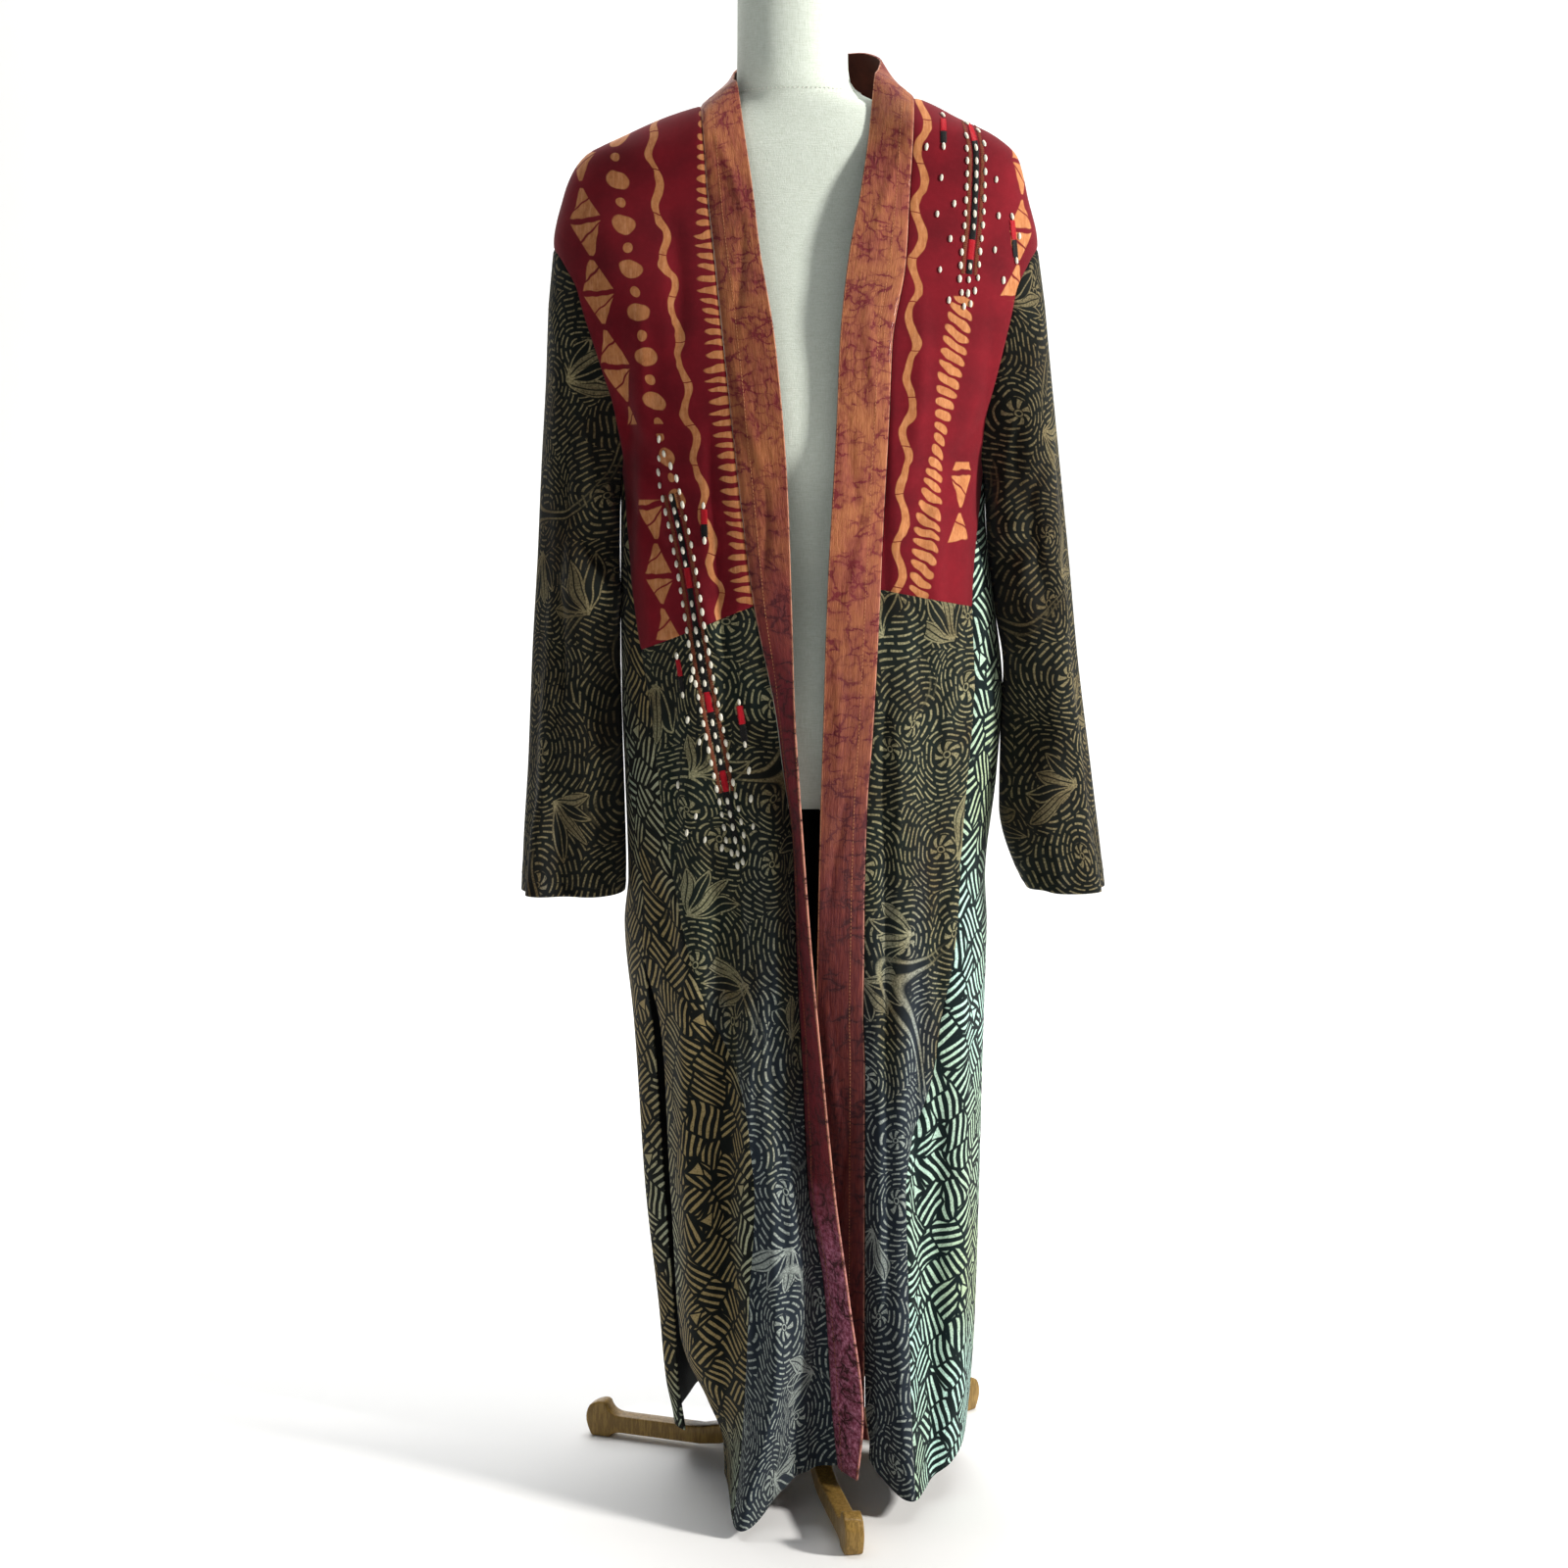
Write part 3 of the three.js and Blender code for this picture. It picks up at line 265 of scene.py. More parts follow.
FORM = table(
    "z mid_x half_width front_y back_y",
    [
        [676, 8, 140, -96, 88], [690, 8, 151, -108, 98], [760, 8, 150, -112, 98], [830, 8, 138, -104, 86],
        [900, 8, 126, -96, 74], [960, 8, 130, -100, 76], [1020, 8, 140, -108, 84], [1080, 8, 150, -102, 92],
        [1150, 9, 158, -82, 98], [1210, 9, 168, -62, 97], [1260, 10, 171, -50, 90], [1298, 10, 166, -45, 84],
        [1310, 10, 154, -42, 80], [1320, 11, 136, -39, 76], [1330, 11, 108, -37, 71], [1336, 5, 78, -37, 64],
        [1343, 1, 62, -39, 60], [1356, -5, 54, -44, 57], [1372, -6, 52.5, -47, 56], [1436, -6, 52, -47, 56],
    ],
)


@dataclass(frozen=True)
class Crease:
    """A soft crease: a trough below zero, a ridge above, along a bowed line.

    The line runs from start to end, in the two values that its surface uses.
    """

    start: tuple[float, float]
    end: tuple[float, float]
    width: float
    depth: float
    bow: float = 0.0

    def height(self, a: Array, b: Array, stretch: float = 1.0) -> Array:
        """How far the crease lifts the cloth at each place.

        Args:
            a: First value of each place.
            b: Second value of each place.
            stretch: Scale of the first value against the second.

        Returns:
            The height at each place, in millimetres.
        """
        p0 = np.array([self.start[0] * stretch, self.start[1]])
        run = np.array([self.end[0] * stretch, self.end[1]]) - p0
        length = math.hypot(*run)
        ahead = run / length
        da, db = a * stretch - p0[0], b - p0[1]
        t = (da * ahead[0] + db * ahead[1]) / length
        inside = np.clip(t, 0.0, 1.0)
        off = da * -ahead[1] + db * ahead[0] - self.bow * np.sin(np.pi * inside)
        taper = np.sin(np.pi * inside) ** 0.8 * (t > 0) * (t < 1)
        reach = off / (self.width * (0.55 + 0.45 * taper))
        return self.depth * taper * np.exp(-reach * reach)


def creases(*rows: tuple[float, ...]) -> tuple[Crease, ...]:
    """Creases from rows of start, end, width, depth and bow."""
    return tuple(Crease((a, b), (c, d), width, depth, bow) for a, b, c, d, width, depth, bow in rows)


def signed_power(value: Array, power: float) -> Array:
    """The power of a value's size, with its sign kept."""
    return np.sign(value) * np.abs(value) ** power


def angle_at(x: Array, half_width: Array) -> Array:
    """Angle round a section at which a point lies x away from the middle, in degrees."""
    share = np.minimum(np.abs(x) / half_width, 1.0)
    return np.sign(x) * np.degrees(np.arcsin(share ** (POWER / 2)))


def unit(vectors: Array) -> Array:
    """The vectors at length one."""
    return vectors / np.maximum(np.linalg.norm(vectors, axis=-1, keepdims=True), 1e-9)


def front_width(side: Side, z: Array) -> Array:
    """Half width of one front at each height."""
    return BODY.front_right(z) if side is Side.RIGHT else BODY.front_left(z)


def folded(distance: Array, reach: float) -> Array:
    """Extra half thickness of a folded edge, at distances from it."""
    return HEM_HALF / (1 + np.exp((distance - reach) / HEM_SOFT))


@dataclass(frozen=True)
class BodySurface:
    """The middle of the hanging body cloth, shared by every body panel."""

    front_creases: dict[Side, tuple[Crease, ...]]
    back_creases: tuple[Crease, ...]

    @staticmethod
    def section(
        angle: Array,
        z: Array,
        sign: Array | int,
        sizes: Sequence[Array],
        folds: Iterable[SimpleNamespace] = (),
        marks: Iterable[Crease] = (),
    ) -> Array:
        """Points of the sections at an angle and a height each.

        Args:
            angle: Angle from the section's front middle.
            z: Height of each point.
            sign: Sign of X of each point.
            sizes: Half width, front Y and back Y at each height.
            folds: The long folds that the cloth hangs in.
            marks: Its creases.

        Returns:
            The points, folds and creases included.
        """
        half_width, front_y, back_y = sizes
        turn = np.radians(angle)
        across = signed_power(np.sin(turn), 2 / POWER)
        along = signed_power(np.cos(turn), 2 / POWER)
        depth = np.where(along > 0, CENTRE_Y - front_y, back_y - CENTRE_Y)
        x = sign * half_width * across
        out = np.zeros(np.broadcast(x, z).shape)
        for one in folds:
            reach = (x - one.x(z)) / one.width(z)
            out = out + one.height(z) * np.exp(-reach * reach)
        for one in marks:
            out = out + one.height(x, z)
        out = out * np.minimum(1.0, FOLD_FADE * np.abs(along))
        y = CENTRE_Y - depth * along - out * np.sign(along)
        return np.stack(np.broadcast_arrays(x + sign * out * across * FOLD_SPREAD, y, z), -1)

    def front(self, side: Side, angle: Array, z: Array) -> Array:
        """Points of one front, the angle running out from the middle."""
        folds = RIGHT_FOLDS if side is Side.RIGHT else LEFT_FOLDS
        sizes = front_width(side, z), BODY.front_y(z), BODY.back_y(z)
        return self.section(angle, z, side.value, sizes, folds, self.front_creases[side])

    def back(self, angle: Array, z: Array) -> Array:
        """Points of the back, the angle running from the right side round to the left."""
        left = angle > 180
        own = np.where(left, 360 - angle, angle)
        width = np.where(left, BODY.side_left(z), BODY.side_right(z))
        sign = np.where(left, 1, -1)
        sizes = width, BODY.wrap_y(z), BODY.back_y(z)
        plain = self.section(own, z, sign, sizes)
        folded = self.section(own, z, sign, sizes, BACK_FOLDS, self.back_creases)
        return np.where((own > 90)[..., None], folded, plain)

    def at(self, side: Side, x: Array, z: Array) -> tuple[Array, Array]:
        """Points and outward directions of one front at given X and Z.

        Args:
            side: Which front.
            x: X of each place, signed.
            z: Height of each place.

        Returns:
            The points and the unit directions out of the cloth.
        """
        angle = angle_at(x * side.value, front_width(side, z))
        for _ in range(5):
            angle = angle + np.clip((x - self.front(side, angle, z)[..., 0]) * side.value * 0.3, -2, 2)
        point = self.front(side, angle, z)
        across = self.front(side, angle + 0.4, z) - self.front(side, angle - 0.4, z)
        up = self.front(side, angle, z + 1.5) - self.front(side, angle, z - 1.5)
        return point, unit(np.cross(across, up)) * side.value


def outer_line(seam_x: Curve, half_width: Curve, opening: Curve) -> Line:
    """Angle of a front's or back's outer line: side seam, armhole, then shoulder."""

    def line(z: Array) -> Array:
        """The line's angle at some heights."""
        start = 90 - angle_at(SIDE_SEAMS.front_right(UNDERARM), BODY.front_right(UNDERARM))
        step = start * np.maximum(0.0, 1 - (z - UNDERARM) / UNDERARM_BLEND)
        hole = np.where(z < SHOULDER_END, np.maximum(opening(z), step), 0.0)
        return np.where(z < UNDERARM, angle_at(seam_x(z), half_width(z)), 90 - hole)

    return line


def back_neck(angle: Array) -> Array:
    """Height of the back neck seam, level on the right and rising to the left shoulder."""
    turn = np.radians(np.maximum(0.0, angle - 180))
    return NECK_RIGHT + (NECK_LEFT - NECK_RIGHT) * np.sin(turn) ** 2


def shares(count: int, length: float, near: Sequence[float] = (0.8, 1.8, 3.2, 5.0)) -> Array:
    """Shares from 0 to 1 that stand closer together near both ends.

    Args:
        count: Number of even steps.
        length: Length that the shares run over, in millimetres.
        near: Distances from each end at which extra shares stand.

    Returns:
        The sorted shares.
    """
    extra = np.array(near) / length
    extra = extra[extra < 0.3]
    inner = np.linspace(0, 1, count + 1)
    inner = inner[(inner > extra.max(initial=0) * 1.2) & (inner < 1 - extra.max(initial=0) * 1.2)]
    return np.unique(np.concatenate([[0.0], extra, inner, 1 - extra, [1.0]]))


def linked(name: str, data: bpy.types.ID) -> bpy.types.Object:
    """An object of some data, in the scene and at the origin."""
    made = bpy.data.objects.new(name, data)
    bpy.context.scene.collection.objects.link(made)
    return made


def closed(ring: Array) -> Array:
    """A ring's points with its first one once more at the end."""
    return np.concatenate([ring, ring[:1]])


def plain_object(name: str, vertices: Array, faces: Sequence[Sequence[int]]) -> bpy.types.Object:
    """A smooth-shaded object at the origin from vertices in millimetres and faces."""
    mesh = bpy.data.meshes.new(name)
    mesh.from_pydata(((vertices + FRAME_SHIFT) * MM).tolist(), [], faces)
    mesh.update()
    mesh.polygons.foreach_set("use_smooth", [True] * len(mesh.polygons))
    return linked(name, mesh)


@dataclass
class Wall:
    """A thin closed wall of cloth round a grid of middle points.

    Attributes:
        points: Middle points in rows and columns, in millimetres.
        uv: Place of each point on the flat cloth, in metres.
        outward: Rough direction out of the cloth at each point.
        round: True if the columns close on themselves.
        thicker: Extra half thickness at each point, as in a folded hem.
        gap: Distance of each point from the first side, in millimetres.
        closing: Place across the cloth where each closed row ends, in metres.
    """

    points: Array
    uv: Array
    outward: Array
    round: bool = False
    thicker: Array | float = 0.0
    gap: Array | None = None
    closing: Array | None = None

    def normals(self) -> Array:
        """Unit directions out of the cloth at the grid's points."""
        p = self.points
        if self.round:
            across = np.roll(p, -1, 1) - np.roll(p, 1, 1)
        else:
            across = np.gradient(p, axis=1)
        n = unit(np.cross(across, np.gradient(p, axis=0)))
        return n * np.sign(np.mean(np.sum(n * self.outward, -1)))

    def cut(self) -> tuple[float, float, float]:
        """Width, length and area of the flat cloth, in metres."""
        p = self.points * MM
        ring = np.concatenate([p, p[:, :1]], 1) if self.round else p
        across = np.diff(ring, axis=1)
        up = np.diff(ring, axis=0)
        width = np.linalg.norm(across, axis=-1).sum(1).max()
        length = np.linalg.norm(up, axis=-1).sum(0).max()
        area = np.linalg.norm(np.cross(across[:-1], up[:, :-1]), axis=-1).sum()
        return float(width), float(length), float(area)

    def build(self, name: str) -> bpy.types.Object:
        """Makes the wall's mesh: outer face, inner face and edges.

        Args:
            name: The piece's name.

        Returns:
            The object, whose inner faces use the second material slot.
        """
        rows, columns = self.points.shape[:2]
        normals = self.normals()
        half = (CLOTH / 2 + np.broadcast_to(self.thicker, (rows, columns)))[..., None]
        outer = self.points + normals * half
        inner = self.points - normals * half
        index = np.arange(rows * columns).reshape(rows, columns)
        if self.round:
            index = np.concatenate([index, index[:, :1]], 1)
        other = index + rows * columns
        quads = np.stack([index[:-1, :-1], index[:-1, 1:], index[1:, 1:], index[1:, :-1]], -1).reshape(-1, 4)
        middle = rows // 2
        across = self.points[middle, 1] - self.points[middle, 0]
        up = self.points[middle + 1, 0] - self.points[middle, 0]
        turned = np.dot(np.cross(across, up), normals[middle, 0]) < 0
        if turned:
            quads = quads[:, ::-1]
        inside = quads[:, ::-1] + rows * columns
        rims = [(index[0], other[0]), (other[-1], index[-1])]
        if not self.round:
            rims += [(other[:, 0], index[:, 0]), (index[:, -1], other[:, -1])]
        edges = np.concatenate([np.stack([a[:-1], b[:-1], b[1:], a[1:]], -1) for a, b in rims])
        if turned:
            edges = edges[:, ::-1]
        faces = np.concatenate([quads, inside, edges])
        vertices = np.concatenate([outer.reshape(-1, 3), inner.reshape(-1, 3)])
        piece = plain_object(name, vertices, faces.tolist())
        mesh = piece.data
        uv = np.tile(self.uv.reshape(-1, 2), (2, 1))
        loops = np.zeros(len(mesh.loops), int)
        mesh.loops.foreach_get("vertex_index", loops)
        flat = uv[loops]
        if self.round:
            seam = self.wrap_loops(loops, rows, columns)
            flat[seam, 0] = self.closing[(loops[seam] % (rows * columns)) // columns]
        layer = mesh.uv_layers.new(name=Graph.CLOTH_MAP)
        layer.data.foreach_set("uv", flat.astype(np.float32).ravel())
        gap = np.zeros((rows, columns)) if self.gap is None else self.gap
        attribute = mesh.attributes.new(Graph.GAP, "FLOAT", "POINT")
        attribute.data.foreach_set("value", np.tile(gap.ravel() * MM, 2).astype(np.float32))
        kinds = np.zeros(len(faces), np.int32)
        kinds[len(quads) : 2 * len(quads)] = 1
        mesh.polygons.foreach_set("material_index", kinds)
        return piece

    def line(self, row: int | slice, column: int | slice, lift: float = 0.3) -> tuple[Array, Array]:
        """A row or column of the wall's outer face, raised a little.

        Args:
            row: The row, or a slice of the rows for a column.
            column: The column, or a slice of the columns for a row.
            lift: How far the line lies over the cloth, in millimetres.

        Returns:
            The line's points and the directions out of the cloth there.
        """
        normals = self.normals()[row, column]
        half = CLOTH / 2 + np.broadcast_to(self.thicker, self.points.shape[:2])[row, column]
        return self.points[row, column] + normals * (half + lift)[:, None], normals

    @staticmethod
    def wrap_loops(loops: Array, rows: int, columns: int) -> Array:
        """Marks the loops of a closed wall's last column of faces that lie on its first points."""
        column = (loops % (rows * columns)) % columns
        per_face = column.reshape(-1, 4)
        spans = (per_face.max(1) == columns - 1) & (per_face.min(1) == 0)
        return (np.repeat(spans, 4)) & (column == 0)


RIGHT_CREASES = creases(
    (-205, 1090, -120, 960, 9, -5.1, 8), (-190, 1010, -105, 905, 8, -4.2, -6),
    (-150, 1000, -165, 850, 7, 3.8, 6), (-120, 1240, -112, 1090, 10, -3.5, 5),
    (-95, 905, -60, 800, 6, 3.8, -6), (-75, 845, -45, 730, 5, -3.8, 5), (-110, 820, -75, 640, 7, 3.2, 8),
    (-130, 620, -95, 470, 9, -4.2, -7), (-60, 610, -35, 430, 6, -3.5, 5), (-40, 470, -48, 330, 5, 3.5, -4),
    (-100, 420, -70, 250, 8, -3.8, 7), (-60, 300, -42, 140, 6, 3.8, 5), (-84, 1040, -64, 690, 8, -5.5, 4),
    (-146, 1150, -138, 800, 10, 4.5, -4), (-168, 1130, -160, 860, 8, -5.0, 5),
    (-116, 830, -108, 560, 7, -5.0, -4), (-34, 600, 4, -160, 8, -11.5, 4),
    (-48, 640, -36, -180, 9, 7.4, -4), (-74, 700, -76, -160, 11, -10.1, 5),
    (-112, 640, -104, -120, 10, 6.8, 5), (-136, 560, -132, 20, 7, -6.8, -3),
)
LEFT_CREASES = creases(
    (205, 1080, 120, 985, 9, -4.8, 7), (188, 1020, 96, 930, 7, -3.5, -6), (112, 1160, 98, 960, 9, 3.5, 6),
    (100, 900, 112, 720, 8, -3.5, 6), (150, 840, 140, 700, 7, 3.2, -5), (84, 780, 90, 640, 5, 3.2, 5),
    (165, 640, 130, 560, 6, -3.5, -5), (120, 520, 136, 380, 7, 3.5, 6), (78, 470, 72, 320, 6, -3.2, -4),
    (96, 330, 112, 180, 7, 3.5, 5), (180, 1140, 152, 760, 10, -6.0, 6), (72, 1120, 78, 800, 7, -4.5, 3),
    (128, 1010, 132, 760, 9, 4.5, -4), (80, 820, 82, -160, 7, -10.8, 3), (103, 640, 108, -180, 9, 7.4, -3),
    (132, 660, 126, -160, 9, -8.8, 4), (156, 560, 158, -120, 8, 6.1, 3),
)
BACK_CREASES = creases(
    (-190, 1080, -60, 1000, 10, -4.8, 9), (180, 1090, 70, 990, 10, -4.5, -8),
    (-120, 1000, -90, 880, 8, 3.5, 6), (110, 980, 80, 840, 8, 3.2, -6), (-30, 1180, 10, 1060, 12, -2.9, 8),
    (-60, 780, -90, 600, 8, -3.8, 7), (40, 720, 60, 520, 8, 3.5, -6), (-110, 520, -80, 330, 9, -4.2, 8),
    (100, 500, 120, 300, 8, -3.8, 6), (0, 420, 20, 240, 7, 3.5, 5), (-30, 760, -38, -180, 12, -9.5, 6),
    (-66, 640, -74, -160, 11, 6.8, -5), (-112, 700, -122, -160, 10, -8.1, 5),
    (28, 720, 34, -160, 11, 7.4, 5), (74, 760, 84, -180, 12, -9.5, -6), (122, 660, 132, -160, 10, 6.1, 4),
)
RIGHT_SLEEVE_CREASES = creases(
    (0.15, 0.06, 0.20, 0.62, 0.039, 9.1, 0.03), (0.25, 0.10, 0.30, 0.70, 0.034, -11.9, -0.02),
    (0.08, 0.22, 0.30, 0.40, 0.032, -9.8, 0.02), (0.06, 0.36, 0.34, 0.52, 0.030, 8.4, -0.02),
    (0.08, 0.50, 0.36, 0.64, 0.032, -9.8, 0.02), (0.35, 0.52, 0.37, 1.35, 0.037, 8.4, 0.0),
    (0.41, 0.36, 0.45, 1.25, 0.030, -7.7, 0.01), (0.60, 0.20, 0.66, 0.90, 0.039, -9.8, 0.02),
    (0.74, 0.40, 0.72, 1.30, 0.039, 8.4, -0.02), (0.12, 0.30, 0.34, 0.42, 0.022, -4.9, 0.02),
    (0.16, 0.36, 0.38, 0.47, 0.020, 4.3, -0.02), (0.10, 0.44, 0.30, 0.56, 0.024, -5.1, 0.02),
    (0.20, 0.56, 0.40, 0.64, 0.020, -4.1, -0.02), (0.05, 0.60, 0.26, 0.70, 0.022, 3.8, 0.02),
    (0.14, 0.70, 0.20, 0.92, 0.024, -4.1, 0.02), (0.36, 0.62, 0.42, 0.86, 0.022, -3.5, 0.02),
    (0.60, 0.32, 0.82, 0.44, 0.024, -4.6, -0.02), (0.58, 0.50, 0.84, 0.60, 0.022, 4.1, 0.02),
    (0.66, 0.66, 0.72, 0.90, 0.024, -3.8, -0.02), (0.90, 0.36, 1.06, 0.50, 0.022, -3.8, 0.02),
)
LEFT_SLEEVE_CREASES = creases(
    (0.12, 0.08, 0.22, 0.58, 0.037, 9.1, -0.02), (0.21, 0.12, 0.33, 0.56, 0.034, -11.2, 0.03),
    (0.06, 0.30, 0.32, 0.42, 0.030, -9.8, -0.02), (0.08, 0.44, 0.38, 0.56, 0.032, 8.4, 0.02),
    (0.10, 0.58, 0.38, 0.66, 0.030, -10.5, 0.02), (0.34, 0.60, 0.33, 1.35, 0.034, 7.7, 0.0),
    (0.42, 0.30, 0.40, 1.20, 0.030, -7.7, -0.01), (0.62, 0.24, 0.60, 0.95, 0.039, -9.8, -0.02),
    (0.76, 0.36, 0.78, 1.30, 0.039, 8.4, 0.02), (0.14, 0.22, 0.36, 0.34, 0.022, -4.6, 0.02),
    (0.18, 0.40, 0.40, 0.50, 0.022, -5.1, -0.02), (0.12, 0.48, 0.34, 0.60, 0.020, 4.1, 0.02),
    (0.08, 0.58, 0.30, 0.70, 0.024, -4.6, 0.02), (0.30, 0.68, 0.40, 0.90, 0.022, -3.8, 0.02),
    (0.16, 0.74, 0.22, 0.96, 0.022, 3.5, -0.02), (0.58, 0.28, 0.84, 0.38, 0.024, -4.3, 0.02),
    (0.60, 0.46, 0.86, 0.58, 0.024, 4.1, -0.02), (0.64, 0.64, 0.74, 0.90, 0.022, -3.8, 0.02),
    (0.92, 0.42, 1.08, 0.54, 0.022, -3.8, 0.02),
)
RIGHT_BAND_CREASES = creases(
    (6, 1290, 36, 1180, 4.0, 2.4, 3), (30, 1200, 10, 1080, 4.0, -2.1, 3), (8, 1060, 30, 930, 4.5, 2.2, -3),
    (26, 960, 12, 850, 3.5, -2.0, 2), (6, 760, 20, 640, 4.0, 2.1, 2), (18, 520, 8, 380, 4.0, -2.0, 2),
    (8, 330, 22, 200, 4.0, 2.1, 2),
)
LEFT_BAND_CREASES = creases(
    (8, 1240, 34, 1120, 4.0, 2.2, 3), (34, 1100, 12, 960, 4.0, 2.4, -3), (40, 980, 18, 860, 3.5, -2.2, 3),
    (10, 900, 34, 780, 4.0, 2.4, 3), (40, 760, 30, 640, 3.5, 2.2, -2), (16, 640, 34, 500, 4.0, -2.1, 3),
    (36, 430, 22, 280, 4.0, 2.1, 3), (12, 320, 30, 160, 4.0, -2.1, 3),
)
SURFACE = BodySurface({Side.RIGHT: RIGHT_CREASES, Side.LEFT: LEFT_CREASES}, BACK_CREASES)


@dataclass
class Panel:
    """One body panel, cut between two side lines and two edges.

    Attributes:
        name: The CAD node that the piece stands for.
        surface: Points at an angle and a height.
        sides: Angles of the two side lines against the height.
        bottom: Height of the lower edge against angle and X.
        top: Height of the upper edge against angle and X.
        edges: How the first side, second side, lower and upper edge are finished.
        spans: Even steps across and up.
        start: Distance of the first side from the front's middle, for the cloth's own measure.
    """

    name: str
    surface: Callable[[Array, Array], Array]
    sides: tuple[Line, Line]
    bottom: Height
    top: Height
    edges: tuple[Edge, Edge, Edge, Edge]
    spans: tuple[int, int]
    start: Line | None = None
    steps: ClassVar[tuple[float, float]] = (4.4, 4.5)
    inside: ClassVar[Array] = np.array([8.0, 8.0, 0.0])

    def wall(self) -> Wall:
        """The panel's wall, with its seams pressed in and its hems thicker."""
        sizes = [step * count for step, count in zip(self.steps, self.spans)]
        across = shares(self.spans[0], sizes[0])[None, :]
        up = shares(self.spans[1], sizes[1])[:, None]
        z = self.bottom(90.0, 100.0) * (1 - up) + self.top(90.0, 100.0) * up
        z = np.broadcast_to(z, (up.size, across.size))
        for _ in range(7):
            first, last = self.sides[0](z), self.sides[1](z)
            angle = first + (last - first) * across
            x = np.abs(self.surface(angle, z)[..., 0])
            z = self.bottom(angle, x) * (1 - up) + self.top(angle, x) * up
        points = self.surface(angle, z)
        steps = np.linalg.norm(np.diff(points, axis=1), axis=-1)
        arc = np.concatenate([np.zeros((len(points), 1)), np.cumsum(steps, 1)], 1)
        rise = np.linalg.norm(np.diff(points, axis=0), axis=-1)
        tall = np.concatenate([np.zeros((1, points.shape[1])), np.cumsum(rise, 0)], 0)
        near = (arc, arc[:, -1:] - arc, tall, tall[-1:] - tall)
        dip, hem = np.zeros_like(arc), np.zeros_like(arc)
        for edge, distance in zip(self.edges, near):
            if edge is Edge.SEWN:
                dip += SEAM_DIP * np.exp(-((distance / SEAM_REACH) ** 2))
            else:
                hem = np.maximum(hem, folded(distance, HEM_REACH))
        outward = points - self.inside
        outward[..., 2] = 0
        wall = Wall(points, np.zeros((*arc.shape, 2)), outward, thicker=hem, gap=arc)
        wall.points = points - wall.normals() * dip[..., None]
        start = -arc[:, -1:] / 2 if self.start is None else self.start(z[:, :1])
        wall.uv = np.stack([(start + arc) * MM, z * MM], -1)
        return wall


def inner_line(place: Line, half_width: Curve) -> Line:
    """Angle of a seam whose distance from the middle is known."""
    return lambda z: angle_at(place(z), half_width(z))


def angle_from(base: float, sign: int, line: Line) -> Line:
    """Angle of a line of the back, counted from another angle."""
    return lambda z: base + sign * line(z)


def level(height: float) -> Height:
    """An edge at one height."""
    return lambda angle, x: np.full(np.broadcast(angle, x).shape, height)


def by_angle(curve: Line) -> Height:
    """An edge whose height goes with the angle, alike on both sides of the back."""
    return lambda angle, x: curve(np.where(np.asarray(angle) > 180, 360 - np.asarray(angle), angle))


def by_x(curve: Line) -> Height:
    """An edge whose height goes with the distance from the middle."""
    return lambda angle, x: curve(x)


def right_start(z: Array) -> Array:
    """Distance of the right band's seam from the middle."""
    return -RIGHT_BAND.seam(z)


def neck_edge(angle: Array, x: Array) -> Array:
    """The upper edge of the back yoke."""
    return back_neck(angle)


